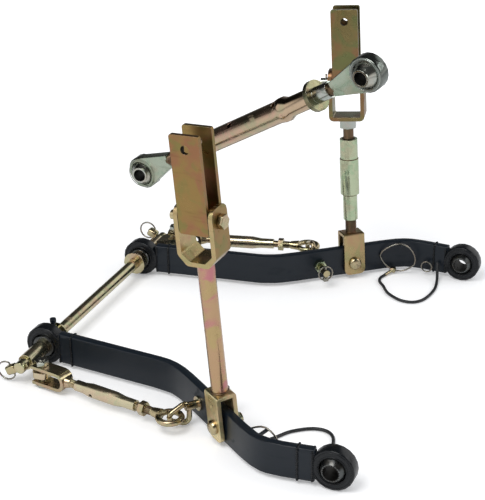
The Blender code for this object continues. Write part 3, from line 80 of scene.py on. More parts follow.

# %% [markdown]
# ## The lanyards
# A lanyard is a short plastic-covered cord that keeps the linch pin from getting lost. It
# leaves the inner face of the arm near its rear ball, drops to the floor, makes one open
# loop and ends in the pin. A few points are given, counted from the rear bend of
# the arm as rearward, inward and up, and a smooth curve is read through them. A curve with
# a round bevel stays soft at any zoom and needs no mesh.

# %% Route of a lanyard
SIDES = {"left": -1, "right": 1}
REAR_BEND = (0.4238042, 0.3509181)
CORD_RADIUS = 0.0025
CORD_POINTS = 72
LANYARD_ROUTE = (
    (-0.0213, 0.0509, -0.0275),
    (-0.0255, 0.0630, -0.0283),
    (-0.0225, 0.0770, -0.0283),
    (-0.0120, 0.0910, -0.0283),
    (0.0040, 0.1150, -0.0283),
    (0.0300, 0.1330, -0.0283),
    (0.0530, 0.1330, -0.0283),
    (0.0675, 0.1150, -0.0283),
    (0.0735, 0.0770, -0.0283),
    (0.0700, 0.0450, -0.0265),
    (0.0655, 0.0275, -0.0160),
    (0.0630, 0.0175, -0.0050),
)


def near_bend(sign, rearward, inward, height):
    """A point counted from the rear bend of the arm on that side."""
    return Vector((REAR_BEND[0] + rearward, sign * (REAR_BEND[1] - inward), height))


def smooth_route(points, count, steps=12):
    """Points at even steps along a smooth curve through the given ones."""
    ends = [2 * points[0] - points[1], *points, 2 * points[-1] - points[-2]]
    curve = []
    for i in range(len(points) - 1):
        a, b, c, d = ends[i : i + 4]
        for step in range(steps):
            t = step / steps
            slow = (2 * a - 5 * b + 4 * c - d) * t * t + (3 * b - a - 3 * c + d) * t ** 3
            curve.append(0.5 * (2 * b + (c - a) * t + slow))
    curve.append(points[-1])
    lengths = [0.0]
    for a, b in zip(curve, curve[1:]):
        lengths.append(lengths[-1] + (b - a).length)
    found = []
    for k in range(count):
        target = lengths[-1] * k / (count - 1)
        i = min(sum(length <= target for length in lengths) - 1, len(curve) - 2)
        share = (target - lengths[i]) / (lengths[i + 1] - lengths[i])
        found.append(curve[i].lerp(curve[i + 1], min(share, 1)))
    return found


# %% [markdown]
# Cords, weld beads and socket lips are all round wires, so one helper makes them. Blender
# counts the radius of a curve's points into the curve's box. The wire's real radius is
# therefore set on the points, with a bevel of 1, and the box stays true.

# %% Wire
def wire(name, points, radius, cyclic=False, sides=4):
    """A round wire along the points, as a curve."""
    curve = bpy.data.curves.new(name, "CURVE")
    curve.dimensions = "3D"
    curve.bevel_depth = 1
    curve.bevel_resolution = sides
    curve.use_fill_caps = True
    spline = curve.splines.new("POLY")
    spline.points.add(len(points) - 1)
    for knot, point in zip(spline.points, points):
        knot.co = (*point, 1)
        knot.radius = radius
    spline.use_cyclic_u = cyclic
    spline.use_smooth = True
    made = bpy.data.objects.new(name, curve)
    scene.collection.objects.link(made)
    return made


# %% Lanyards
lanyards = {}
for side, sign in SIDES.items():
    route = [near_bend(sign, *point) for point in LANYARD_ROUTE[::-1]]
    path = smooth_route(route, CORD_POINTS)
    lanyard = wire(side + "_cord", path, CORD_RADIUS, sides=5)
    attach(lanyard, side + "_arm")
    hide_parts(side + "_lanyard")
    lanyards[side] = lanyard

# %% [markdown]
# ## Helpers for nodes
# Materials and the world are built from the same few kinds of nodes: a mix of two colours,
# a sum or a product, a stretched range, a noise. A helper for each keeps the recipes short.
# What goes into them may be another node's output or a plain value.

# %% Node helpers
MIX_AMOUNT, MIX_FIRST, MIX_SECOND, MIX_RESULT = 0, 6, 7, 2


def new_material(name):
    """A material, its node tree and its Principled shader."""
    material = bpy.data.materials.new(name)
    material.use_nodes = True
    tree = material.node_tree
    return material, tree, tree.nodes["Principled BSDF"]


def add(tree, kind, **settings):
    """A node of that kind. Inputs are set by name, and everything else as attributes."""
    node = tree.nodes.new(kind)
    for key, value in settings.pop("inputs", {}).items():
        node.inputs[key].default_value = value
    for key, value in settings.items():
        setattr(node, key, value)
    return node


def feed(tree, value, socket):
    """Link a node's output to a socket, or set the socket to a plain value."""
    if isinstance(value, bpy.types.NodeSocket):
        tree.links.new(value, socket)
    else:
        socket.default_value = value


def mix(tree, amount, first, second):
    """A mix of two colours."""
    node = add(tree, "ShaderNodeMix", data_type="RGBA")
    feed(tree, amount, node.inputs[MIX_AMOUNT])
    feed(tree, first, node.inputs[MIX_FIRST])
    feed(tree, second, node.inputs[MIX_SECOND])
    return node.outputs[MIX_RESULT]


def reckon(tree, operation, first, second):
    """A sum, a product or another operation on two numbers."""
    node = add(tree, "ShaderNodeMath", operation=operation)
    feed(tree, first, node.inputs[0])
    feed(tree, second, node.inputs[1])
    return node.outputs[0]


def stretched(tree, value, start, stop, low=0.0, high=1.0):
    """Low where the value is at start, high where it is at stop, and even between."""
    node = add(tree, "ShaderNodeMapRange", inputs={"From Min": start, "From Max": stop})
    feed(tree, value, node.inputs["Value"])
    feed(tree, low, node.inputs["To Min"])
    feed(tree, high, node.inputs["To Max"])
    return node.outputs[0]


def noise(tree, place, **values):
    """A noise read at a place, with its settings by name."""
    node = add(tree, "ShaderNodeTexNoise", inputs=values)
    tree.links.new(place, node.inputs["Vector"])
    return node


def object_place(tree):
    """The place on the surface in the piece's own metres."""
    return add(tree, "ShaderNodeTexCoord").outputs["Object"]


# %% [markdown]
# ## The world
# Bare metal is only as lively as what it mirrors. Reflections see a white horizon under a
# dark ceiling, as in a room with a white sweep, dimmer behind on the left, and two bright
# windows. The camera sees plain white. Everything else gets a plain grey, so that the
# finishes come out as they are written.

# %% World
world = bpy.data.worlds.new("studio")
scene.world = world
world.use_nodes = True
tree = world.node_tree
way = add(tree, "ShaderNodeTexCoord").outputs["Generated"]


def toward(direction, start, stop, low, high):
    """Low to high as a ray turns toward a direction of the room."""
    along = add(tree, "ShaderNodeVectorMath", operation="DOT_PRODUCT")
    along.inputs[1].default_value = direction
    tree.links.new(way, along.inputs[0])
    return stretched(tree, along.outputs["Value"], start, stop, low, high)


parts_of_way = add(tree, "ShaderNodeSeparateXYZ")
tree.links.new(way, parts_of_way.inputs[0])
ceiling = stretched(tree, parts_of_way.outputs["Z"], 0.05, 0.36, 1.0, 0.07)
dim_side = toward((-0.95, 0.30, 0), 0.40, 0.80, 1.0, 0.08)
front_window = toward((-0.64, -0.64, 0.42), 0.82, 0.90, 0.0, 1.0)
back_window = toward((0.35, 0.84, 0.42), 0.925, 0.965, 0.0, 1.0)
walls = reckon(tree, "MULTIPLY", ceiling, dim_side)
windows = reckon(tree, "MAXIMUM", front_window, back_window)
room = reckon(tree, "MAXIMUM", walls, windows)
rays = add(tree, "ShaderNodeLightPath").outputs
mirrored = mix(tree, rays["Is Glossy Ray"], (0.50, 0.51, 0.53, 1), room)
straight = reckon(tree, "MAXIMUM", rays["Is Camera Ray"], rays["Is Transmission Ray"])
sky = mix(tree, straight, mirrored, (1, 1, 1, 1))
tree.links.new(sky, tree.nodes["Background"].inputs["Color"])
print("world with a dark ceiling and two windows")

# %% [markdown]
# ## The floor
# A large pale sheet just under the arms takes the shadows. A photographer would curve it up
# into a backdrop. Here it glows a little for the camera instead, more with distance, so
# that it fades into the white world while the shadows near the hitch stay.

# %% Floor
FLOOR_HEIGHT = -0.0312
build = bmesh.new()
bmesh.ops.create_grid(build, x_segments=1, y_segments=1, size=6)
floor_mesh = bpy.data.meshes.new("floor")
build.to_mesh(floor_mesh)
build.free()
floor = bpy.data.objects.new("floor", floor_mesh)
floor.location = (0.3, 0, FLOOR_HEIGHT)
scene.collection.objects.link(floor)
material, tree, shader = new_material("pale_floor")
shader.inputs["Base Color"].default_value = (0.95, 0.95, 0.95, 1)
shader.inputs["Roughness"].default_value = 0.7
shader.inputs["Specular IOR Level"].default_value = 0.05
shader.inputs["Emission Color"].default_value = (1, 1, 1, 1)
away = add(tree, "ShaderNodeVectorMath", operation="LENGTH")
tree.links.new(object_place(tree), away.inputs[0])
glow = stretched(tree, away.outputs["Value"], 0.5, 1.6, 0.22, 0.75)
seen = add(tree, "ShaderNodeLightPath").outputs["Is Camera Ray"]
tree.links.new(reckon(tree, "MULTIPLY", seen, glow), shader.inputs["Emission Strength"])
floor_mesh.materials.append(material)
print("floor at", FLOOR_HEIGHT)

# %% [markdown]
# ## The lights
# Two large area lights are enough: a key high up on the left and a weak fill from behind on
# the right. Large lights give soft shadows, as a softbox does.

# %% Lights
HITCH_MIDDLE = (0.25, 0, 0.1)


def soft_light(name, spot, size, power):
    """A rectangular light that faces the middle of the hitch."""
    lamp = bpy.data.lights.new(name, "AREA")
    lamp.shape = "RECTANGLE"
    lamp.size, lamp.size_y = size
    lamp.energy = power
    light = bpy.data.objects.new(name, lamp)
    facing = (Vector(spot) - Vector(HITCH_MIDDLE)).to_track_quat("Z", "Y")
    light.matrix_world = Matrix.Translation(spot) @ facing.to_matrix().to_4x4()
    scene.collection.objects.link(light)


soft_light("key", (-0.1, -1.5, 2.3), (1.5, 1.5), 38)
soft_light("fill", (2.2, 0.6, 1.5), (1.4, 1.0), 12)
scene.view_settings.view_transform = "Standard"
print("two soft lights")

# %% [markdown]
# ## Shared effects
# Three effects return in several finishes: the cloudy tint of zinc passivation, fine
# scratches, and wear along the edges. Each is a node group, built once. A group gives back
# a colour, a mask or a normal, and the shader itself stays in the material. Places are
# read in Object coordinates, which are metres here, so that a speck has the same size on
# every piece.

# %% Group helpers
COLOR, FLOAT, VECTOR = "NodeSocketColor", "NodeSocketFloat", "NodeSocketVector"


def new_group(name, takes, gives):
    """A shader node group with named sockets, what it is given and what it results in."""
    group = bpy.data.node_groups.new(name, "ShaderNodeTree")
    for label, (kind, default) in takes.items():
        socket = group.interface.new_socket(label, in_out="INPUT", socket_type=kind)
        socket.default_value = default
    for label, kind in gives.items():
        group.interface.new_socket(label, in_out="OUTPUT", socket_type=kind)
    given = group.nodes.new("NodeGroupInput").outputs
    result = group.nodes.new("NodeGroupOutput").inputs
    return group, given, result


def use_group(tree, group, **values):
    """The outputs of a group set to work in a material."""
    node = add(tree, "ShaderNodeGroup", node_tree=group)
    for label, value in values.items():
        node.inputs[label].default_value = value
    return node.outputs


# %% [markdown]
# Yellow zinc passivation is a film thinner than a wavelength of light, so its colour drifts
# from straw to pink and green as its thickness changes. Two slow noises pick between the
# three colours. The second one is read elsewhere and at a finer scale, so that the two
# never run side by side.

# %% Passivation tint
tint, given, result = new_group(
    "passivation_tint",
    {
        "Straw": (COLOR, (0.7, 0.55, 0.25, 1)), "Pink": (COLOR, (0.7, 0.4, 0.36, 1)),
        "Green": (COLOR, (0.45, 0.6, 0.3, 1)), "Scale": (FLOAT, 18.0), "Cloud": (FLOAT, 0.5),
    },
    {"Color": COLOR, "Mask": FLOAT},
)
place = object_place(tint)
elsewhere = add(tint, "ShaderNodeVectorMath", operation="ADD")
elsewhere.inputs[1].default_value = (3.7, 1.9, 5.3)
tint.links.new(place, elsewhere.inputs[0])
slow = noise(tint, place, Detail=3.0, Roughness=0.6, Distortion=0.6)
quick = noise(tint, elsewhere.outputs[0], Detail=2.0, Roughness=0.5, Distortion=1.2)
tint.links.new(given["Scale"], slow.inputs["Scale"])
tint.links.new(reckon(tint, "MULTIPLY", given["Scale"], 1.7), quick.inputs["Scale"])
pinker = stretched(tint, slow.outputs["Fac"], 0.46, 0.62, high=given["Cloud"])
greener = stretched(tint, quick.outputs["Fac"], 0.48, 0.64, high=given["Cloud"])
straw_and_pink = mix(tint, pinker, given["Straw"], given["Pink"])
tint.links.new(mix(tint, greener, straw_and_pink, given["Green"]), result["Color"])
tint.links.new(slow.outputs["Fac"], result["Mask"])
print("group", tint.name)

# %% [markdown]
# Parts that lie in a box together scratch each other. A noise stretched along one direction
# and cut off high leaves a few thin lines, and a second one leaves small specks.

# %% Scratches
scratches, given, result = new_group(
    "scratches", {"Scale": (FLOAT, 90.0), "Amount": (FLOAT, 0.5)}, {"Mask": FLOAT, "Grain": FLOAT}
)
place = object_place(scratches)
along_one_way = add(
    scratches, "ShaderNodeMapping", inputs={"Rotation": (0.5, 0.9, 0.4), "Scale": (0.12, 1, 1)}
)
scratches.links.new(place, along_one_way.inputs["Vector"])
lines = noise(scratches, along_one_way.outputs[0], Detail=2.0, Roughness=0.7)
specks = noise(scratches, place, Detail=4.0, Roughness=0.65, Scale=900.0)
scratches.links.new(given["Scale"], lines.inputs["Scale"])
thin = stretched(scratches, lines.outputs["Fac"], 0.6, 0.7, high=given["Amount"])
scratches.links.new(thin, result["Mask"])
scratches.links.new(specks.outputs["Fac"], result["Grain"])
print("group", scratches.name)

# %% [markdown]
# Edges lose their finish first. The Bevel node rounds the normal near an edge, and where
# this rounded normal leaves the true one, there is an edge. Noise breaks the line up.

# %% Edge wear
edge_wear, given, result = new_group(
    "edge_wear",
    {"Radius": (FLOAT, 0.0012), "Amount": (FLOAT, 0.5)},
    {"Mask": FLOAT, "Normal": VECTOR},
)
rounded = add(edge_wear, "ShaderNodeBevel", samples=4)
edge_wear.links.new(given["Radius"], rounded.inputs["Radius"])
true_normal = add(edge_wear, "ShaderNodeNewGeometry").outputs["Normal"]
agree = add(edge_wear, "ShaderNodeVectorMath", operation="DOT_PRODUCT")
edge_wear.links.new(rounded.outputs[0], agree.inputs[0])
edge_wear.links.new(true_normal, agree.inputs[1])
near_edge = stretched(edge_wear, agree.outputs["Value"], 0.99, 0.86)
chips = noise(edge_wear, object_place(edge_wear), Scale=160.0, Detail=4.0, Roughness=0.7)
broken = stretched(edge_wear, chips.outputs["Fac"], 0.38, 0.6)
worn = reckon(edge_wear, "MULTIPLY", near_edge, broken)
edge_wear.links.new(reckon(edge_wear, "MULTIPLY", worn, given["Amount"]), result["Mask"])
edge_wear.links.new(rounded.outputs[0], result["Normal"])
print("group", edge_wear.name)

# %% [markdown]
# ## Zinc
# Every finish is one Principled shader. Zinc is fully metallic, so its colour is its
# reflection. The three tints drift over it, and along the edges a brighter metal shows. It
# is duller where it is cloudy or scratched, and fine grain breaks the highlights.

# %% Zinc finish
def zinc(name, straw, pink, green, cloud=0.6, scale=30, roughness=0.3, wear=0.3):
    """Passivated zinc: three drifting tints, scratches, and bare metal along the edges."""
    material, tree, shader = new_material(name)
    clouds = use_group(
        tree, tint, Straw=(*straw, 1), Pink=(*pink, 1), Green=(*green, 1), Cloud=cloud, Scale=scale
    )
    lines = use_group(tree, scratches, Amount=0.3, Scale=70.0)
    edges = use_group(tree, edge_wear, Amount=wear, Radius=0.0008)
    bare = (*[min(1, 0.30 + 0.85 * part) for part in straw], 1)
    color = mix(tree, edges["Mask"], clouds["Color"], bare)
    tree.links.new(color, shader.inputs["Base Color"])
    shader.inputs["Metallic"].default_value = 1.0
    dull = stretched(tree, clouds["Mask"], 0.3, 0.7, roughness - 0.09, roughness + 0.10)
    duller = reckon(tree, "ADD", dull, lines["Mask"])
    tree.links.new(duller, shader.inputs["Roughness"])
    relief = add(tree, "ShaderNodeBump", inputs={"Strength": 0.35, "Distance": 0.00006})
    tree.links.new(lines["Grain"], relief.inputs["Height"])
    tree.links.new(edges["Normal"], relief.inputs["Normal"])
    tree.links.new(relief.outputs[0], shader.inputs["Normal"])
    return material


# %% [markdown]
# The pieces come out of the bath in many tints. Each row gives the straw, the pink and the
# green that drift over the piece, how strongly they do, how small the clouds are, and how
# dull the metal is. The browns are for the links and screws, the golds for the bars and
# rods, the greens for the barrel and the eyes.

# %% Zinc finishes
finishes = {
    "bronze": zinc(
        "bronze_zinc", (0.285, 0.185, 0.068), (0.31, 0.14, 0.080), (0.215, 0.19, 0.065),
        cloud=0.75, scale=22, roughness=0.33, wear=0.5,
    ),
    "olive": zinc(
        "olive_zinc", (0.225, 0.180, 0.078), (0.28, 0.14, 0.078), (0.16, 0.185, 0.075),
        cloud=0.8, scale=16, roughness=0.31, wear=0.5,
    ),
    "rose": zinc(
        "rose_zinc", (0.47, 0.31, 0.18), (0.50, 0.19, 0.22), (0.45, 0.34, 0.16),
        cloud=0.9, scale=18, roughness=0.24,
    ),
    "tan": zinc(
        "tan_zinc", (0.45, 0.34, 0.17), (0.46, 0.26, 0.16), (0.34, 0.33, 0.15),
        scale=24, roughness=0.28,
    ),
    "foot": zinc(
        "foot_zinc", (0.78, 0.64, 0.36), (0.78, 0.52, 0.34), (0.60, 0.58, 0.31), roughness=0.34
    ),
    "gold": zinc(
        "gold_zinc", (0.50, 0.42, 0.25), (0.50, 0.33, 0.24), (0.38, 0.40, 0.23), roughness=0.20
    ),
    # A lighter gold for the brackets and stabiliser tubes, partly their own tint and partly
    # painted highlight.
    "light_gold": zinc(
        "light_gold_zinc", (0.60, 0.53, 0.36), (0.60, 0.43, 0.31), (0.46, 0.48, 0.30),
        roughness=0.22,
    ),
    "bar": zinc(
        "bar_zinc", (0.55, 0.49, 0.31), (0.50, 0.33, 0.24), (0.40, 0.45, 0.26),
        cloud=0.7, scale=34, roughness=0.17,
    ),
    "tube": zinc(
        "tube_zinc", (0.50, 0.37, 0.25), (0.56, 0.33, 0.26), (0.36, 0.36, 0.22),
        cloud=0.7, scale=20, roughness=0.13,
    ),
    "disc": zinc(
        "disc_zinc", (0.20, 0.19, 0.11), (0.25, 0.17, 0.11), (0.15, 0.17, 0.10),
        cloud=0.7, roughness=0.20, wear=0.7,
    ),
    "pale": zinc(
        "pale_zinc", (0.47, 0.53, 0.36), (0.48, 0.45, 0.31), (0.36, 0.49, 0.31),
        cloud=0.7, roughness=0.21,
    ),
    "green": zinc(
        "green_zinc", (0.38, 0.43, 0.34), (0.40, 0.38, 0.28), (0.28, 0.38, 0.28), roughness=0.26
    ),
    "green_grey": zinc(
        "ring_zinc", (0.26, 0.30, 0.23), (0.28, 0.27, 0.20), (0.19, 0.25, 0.19),
        scale=40, roughness=0.20, wear=0.6,
    ),
    "grey": zinc(
        "grey_zinc", (0.17, 0.185, 0.17), (0.19, 0.175, 0.15), (0.13, 0.16, 0.14),
        scale=40, roughness=0.20, wear=0.6,
    ),
    "silver": zinc(
        "bright_zinc", (0.44, 0.46, 0.43), (0.45, 0.41, 0.34), (0.34, 0.41, 0.35), roughness=0.16
    ),
    "worn_ball": zinc(
        "worn_ball", (0.42, 0.43, 0.39), (0.44, 0.39, 0.31), (0.33, 0.38, 0.33),
        scale=60, roughness=0.16, wear=0.6,
    ),
    "steel": zinc(
        "dark_steel", (0.30, 0.28, 0.24), (0.30, 0.24, 0.19), (0.24, 0.25, 0.22),
        scale=60, roughness=0.24,
    ),
    "oiled": zinc(
        "oiled_steel", (0.10, 0.105, 0.105), (0.12, 0.105, 0.085), (0.08, 0.09, 0.09),
        cloud=0.5, scale=60, roughness=0.26, wear=0.6,
    ),
    "thread": zinc(
        "thread_zinc", (0.16, 0.11, 0.065), (0.18, 0.09, 0.06), (0.12, 0.11, 0.06),
        scale=90, roughness=0.36,
    ),
    # Nearly black: painted shade for the inside of bores and holes.
    "bore": zinc(
        "dark_bore", (0.022, 0.021, 0.019), (0.026, 0.021, 0.018), (0.018, 0.020, 0.018),
        cloud=0.5, scale=60, roughness=0.5, wear=0.2,
    ),
}
print(len(finishes), "zinc finishes")

# %% [markdown]
# ## Black paint
# The arms are painted satin black. Paint isn't metallic and gets its look from a dark
# colour under a smooth skin with the faint bumps that a spray gun leaves. The rings at the
# ends of the arms are oily and a shade darker and glossier.

# %% Satin black paint
def black_paint(name, color, worn, roughness):
    """Paint over steel: nearly black, with a fine orange peel and paler edges."""
    material, tree, shader = new_material(name)
    edges = use_group(tree, edge_wear, Amount=0.35, Radius=0.0012)
    lines = use_group(tree, scratches, Amount=0.25, Scale=45.0)
    paint = mix(tree, edges["Mask"], (*color, 1), (*worn, 1))
    tree.links.new(paint, shader.inputs["Base Color"])
    dull = reckon(tree, "ADD", lines["Mask"], roughness)
    tree.links.new(dull, shader.inputs["Roughness"])
    shader.inputs["Specular IOR Level"].default_value = 0.34
    peel = noise(tree, object_place(tree), Scale=420.0, Detail=2.0)
    relief = add(tree, "ShaderNodeBump", inputs={"Strength": 0.3, "Distance": 0.00012})
    tree.links.new(peel.outputs["Fac"], relief.inputs["Height"])
    tree.links.new(edges["Normal"], relief.inputs["Normal"])
    tree.links.new(relief.outputs[0], shader.inputs["Normal"])
    return material


finishes["black"] = black_paint(
    "satin_black", (0.0062, 0.0105, 0.0165), (0.050, 0.058, 0.066), 0.33
)
finishes["ring"] = black_paint(
    "ring_black", (0.0035, 0.0048, 0.0065), (0.055, 0.058, 0.060), 0.27
)
print("two black paints")

# %% [markdown]
# The cord's plastic cover is black too, but it scuffs grey and dull where it drags. One
# noise drives both the colour and the roughness, because a scuff changes both.

# %% Black cord
material, tree, shader = new_material("black_cord")
scuffs = noise(tree, object_place(tree), Scale=260.0, Detail=4.0, Roughness=0.65).outputs["Fac"]
dusty = stretched(tree, scuffs, 0.45, 0.7)
cover = mix(tree, dusty, (0.010, 0.011, 0.013, 1), (0.035, 0.036, 0.038, 1))
tree.links.new(cover, shader.inputs["Base Color"])
tree.links.new(stretched(tree, scuffs, 0.0, 1.0, 0.36, 0.60), shader.inputs["Roughness"])
finishes["cord"] = material
print("cord cover")

# %% [markdown]
# ## Clean edges on the solids
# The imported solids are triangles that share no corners, so light breaks on every one of
# them. Three modifiers mend that and leave the mesh itself alone: Weld joins the corners, a
# small node tree calls every edge sharp that bends more than a given angle, and Weighted
# Normal keeps the large faces flat.

# %% Smooth up to an angle
smoothing = bpy.data.node_groups.new("smooth_to_angle", "GeometryNodeTree")
geometry = "NodeSocketGeometry"
smoothing.interface.new_socket("Geometry", in_out="INPUT", socket_type=geometry)
angle_socket = smoothing.interface.new_socket("Angle", in_out="INPUT", socket_type=FLOAT)
smoothing.interface.new_socket("Geometry", in_out="OUTPUT", socket_type=geometry)
given = smoothing.nodes.new("NodeGroupInput").outputs
result = smoothing.nodes.new("NodeGroupOutput").inputs
plain = add(smoothing, "GeometryNodeRemoveAttribute", inputs={"Name": "custom_normal"})
faces = add(smoothing, "GeometryNodeSetShadeSmooth")
sharp = add(smoothing, "GeometryNodeSetShadeSmooth", domain="EDGE")
sharp.inputs["Shade Smooth"].default_value = False
bend = add(smoothing, "GeometryNodeInputMeshEdgeAngle").outputs["Unsigned Angle"]
more = add(smoothing, "FunctionNodeCompare")
smoothing.links.new(given[0], plain.inputs["Geometry"])
smoothing.links.new(plain.outputs[0], faces.inputs["Geometry"])
smoothing.links.new(faces.outputs[0], sharp.inputs["Geometry"])
smoothing.links.new(bend, more.inputs["A"])
smoothing.links.new(given[1], more.inputs["B"])
smoothing.links.new(more.outputs[0], sharp.inputs["Selection"])
smoothing.links.new(sharp.outputs[0], result[0])


def clean_edges(thing, degrees):
    """Three modifiers that leave only the edges sharp that bend more than the angle."""
    weld = thing.modifiers.new("weld", "WELD")
    weld.merge_threshold = 0.00001
    smooth = thing.modifiers.new("smooth to angle", "NODES")
    smooth.node_group = smoothing
    smooth[angle_socket.identifier] = math.radians(degrees)
    weighted = thing.modifiers.new("flat faces", "WEIGHTED_NORMAL")
    weighted.keep_sharp = True


print("node tree", smoothing.name)

# %% [markdown]
# ## Which solid gets which finish
# The same bath of zinc comes out differently on every piece, so the two links, the rods,
# the bars and the top link each have their own tint. What isn't named here takes the
# usual finish of its slot. Thin round wires have few sides, so their edges bend more, and
# a wider angle keeps them round.

# %% Finishes by piece
SHARP_ANGLE, SHARP_WIRE_ANGLE = 47, 62
usual = {
    "satin_black": "black", "gold_zinc": "gold", "pale_zinc": "pale",
    "bright_zinc": "silver", "dark_steel": "steel", "black_cord": "cord",
}
special = {
    "crossbar": "bar", "left_link": "bronze", "right_link": "olive", "left_rod": "tan",
    "right_foot": "tan", "right_rod_nut": "silver", "right_yoke": "olive",
    "right_yoke_bolt": "olive", "top_barrel": "tube", "top_lock_collar": "silver",
    "top_front_eye": "green", "top_rear_eye": "green",
    "top_front_ball": "worn_ball", "top_rear_ball": "worn_ball",
}
for side in SIDES:
    special[side + "_front_ball"] = "oiled"
    special[side + "_rear_ball"] = "oiled"
    special[side + "_collar"] = "bar"
    # Brackets and stabiliser tubes take the lighter gold, partly as painted highlight.
    special[side + "_bracket"] = "light_gold"
    special[side + "_stabiliser_tube"] = "light_gold"
    special[side + "_stabiliser_nut"] = "gold"
round_wires = ("bail", "split_ring", "tail_pin", "lanyard_pin", "bar_pin")
record = frame["record"]
for row in record["subparts"]:
    node = row["node"]
    solid = nodes[node]
    solid.data.materials.clear()
    solid.data.materials.append(finishes[special.get(node, usual[row["material_slot"]])])
    clean_edges(solid, SHARP_WIRE_ANGLE if node.endswith(round_wires) else SHARP_ANGLE)
for lanyard in lanyards.values():
    lanyard.data.materials.append(finishes["cord"])
print("finishes on", len(record["subparts"]), "solids")

# %% [markdown]
# ## Lines to build on
# Every turning axis and pin bore is written down in the record, so new pieces and new
# colours are placed from there: each line has a point and a direction. Only the left rod,
# which is one piece, has none, so it takes the right one's, mirrored.

# %% Lines from the record
lines_at = {}
for row in record["behaviour"]["joints"] + record["mounts"]:
    if "pos_m" in row:
        lines_at[row["name"]] = (Vector(row["pos_m"]), Vector(row["axis"]).normalized())
mirror = Vector((1, -1, 1))
lines_at["left_rod_line"] = tuple(part * mirror for part in lines_at["right_barrel_turn"])
for side in SIDES:
    for end, joint in (("front", "_sway"), ("rear", "_rear_swivel")):
        lines_at[f"{side}_{end}_socket"] = (lines_at[side + joint][0], Vector((0, 1, 0)))
print(len(lines_at), "lines")

# %% [markdown]
# ## Second finishes
# Some solids wear two finishes. The inside of a bore is painted nearly black, as painted
# shade where little light reaches. The screws are a dark brown, the left rod is rosier
# than its yoke, and the thin disc on the top link is duller than the sleeve that it sits
# on. The faces are picked by how far they lie from a line and how high along it.

# %% Picking faces
def near_line(name, radius, start=-1.0, end=1.0, inward=False):
    """A test for faces close to a line, between two heights, perhaps only those of a bore."""
    spot, axis = lines_at[name]

    def chosen(centre, normal):
        height = (centre - spot).dot(axis)
        out = centre - spot - axis * height
        if inward and normal.dot(out) > 0:
            return False
        return start <= height <= end and out.length <= radius

    return chosen


def paint_faces(node, finish, chosen):
    """Give another finish to those faces of a solid that pass the test."""
    solid = nodes[node]
    solid.data.materials.append(finishes[finish])
    slot = len(solid.data.materials) - 1
    turn = solid.matrix_world.to_3x3()
    found = 0
    for face in solid.data.polygons:
        if chosen(solid.matrix_world @ face.center, (turn @ face.normal).normalized()):
            face.material_index = slot
            found += 1
    print(node, finish, found)


# %% Bores and rings
# The nearly black bore finish is painted shade inside the ball bores and the link holes.
for side in SIDES:
    bore = near_line(side + "_lower_pin_bore", 0.0118, inward=True)
    paint_faces(side + "_rear_ball", "bore", bore)
    paint_faces(side + "_link", "bore", near_line(side + "_lift_link_hole", 0.0068, inward=True))
    for end in ("front", "rear"):
        ring = near_line(f"{side}_{end}_socket", 0.0314, -0.0118, 0.0118)
        paint_faces(side + "_arm", "ring", ring)
for end, ring_finish in (("front", "green_grey"), ("rear", "grey")):
    line = f"top_link_{end}_bore"
    paint_faces(f"top_{end}_ball", "bore", near_line(line, 0.0103, inward=True))
    paint_faces(f"top_{end}_eye", ring_finish, near_line(line, 0.0262))

# %% Rods, screws and the disc
ROD_FOOT_TOP, ROD_YOKE_BASE = 0.0545, 0.2548
for node in ("right_yoke", "right_foot"):
    screw = near_line("right_barrel_turn", 0.0093, ROD_FOOT_TOP, ROD_YOKE_BASE)
    paint_faces(node, "thread", screw)
paint_faces("left_rod", "rose", near_line("left_rod_line", 0.0124, ROD_FOOT_TOP, ROD_YOKE_BASE))
paint_faces("left_rod", "foot", near_line("left_rod_line", 0.06, -0.05, ROD_FOOT_TOP + 0.0001))
yoke_middle = lines_at["left_link_swing"][0]
paint_faces(
    "left_rod", "bronze",
    lambda centre, normal: centre.z > 0.25 and (centre - yoke_middle).dot(normal) > 0.025,
)
paint_faces("right_yoke_bolt", "silver", near_line("right_link_swing", 0.03, -0.07, -0.0325))
paint_faces("top_front_eye", "thread", near_line("top_barrel_turn", 0.0096, 0.0626, 0.2))
paint_faces("top_rear_eye", "thread", near_line("top_barrel_turn", 0.0096, 0.2, 0.4216))
paint_faces("top_lock_collar", "disc", near_line("top_barrel_turn", 0.03, 0.3790, 0.3872))

# %% [markdown]
# ## Threads
# A thread is one ridge that climbs round the screw. Four points make its profile, and both
# of its ends fade into the screw. A real thread cut from the solid would need many more
# faces and would look the same.


def ride_with(made, body, finish):
    """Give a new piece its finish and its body."""
    made.data.materials.append(finishes[finish])
    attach(made, body)


def square_to(axis):
    """Two directions square to the axis and to each other."""
    away_from_axis = Vector((1, 0, 0)) if abs(axis.x) < 0.8 else Vector((0, 1, 0))
    first = axis.cross(away_from_axis).normalized()
    return first, axis.cross(first)


def skin(name, rows):
    """A piece made of a strip of faces over rows of points."""
    build = bmesh.new()
    grid = [[build.verts.new(point) for point in row] for row in rows]
    for a, b in zip(grid, grid[1:]):
        for i in range(len(a) - 1):
            build.faces.new((a[i], b[i], b[i + 1], a[i + 1]))
    bmesh.ops.recalc_face_normals(build, faces=build.faces)
    mesh = bpy.data.meshes.new(name)
    build.to_mesh(mesh)
    build.free()
    made = bpy.data.objects.new(name, mesh)
    scene.collection.objects.link(made)
    return made


# %% Thread
THREAD_STEPS = 24  # for each turn
THREAD_ROOT = 0.0002  # how deep a ridge is sunk in its screw


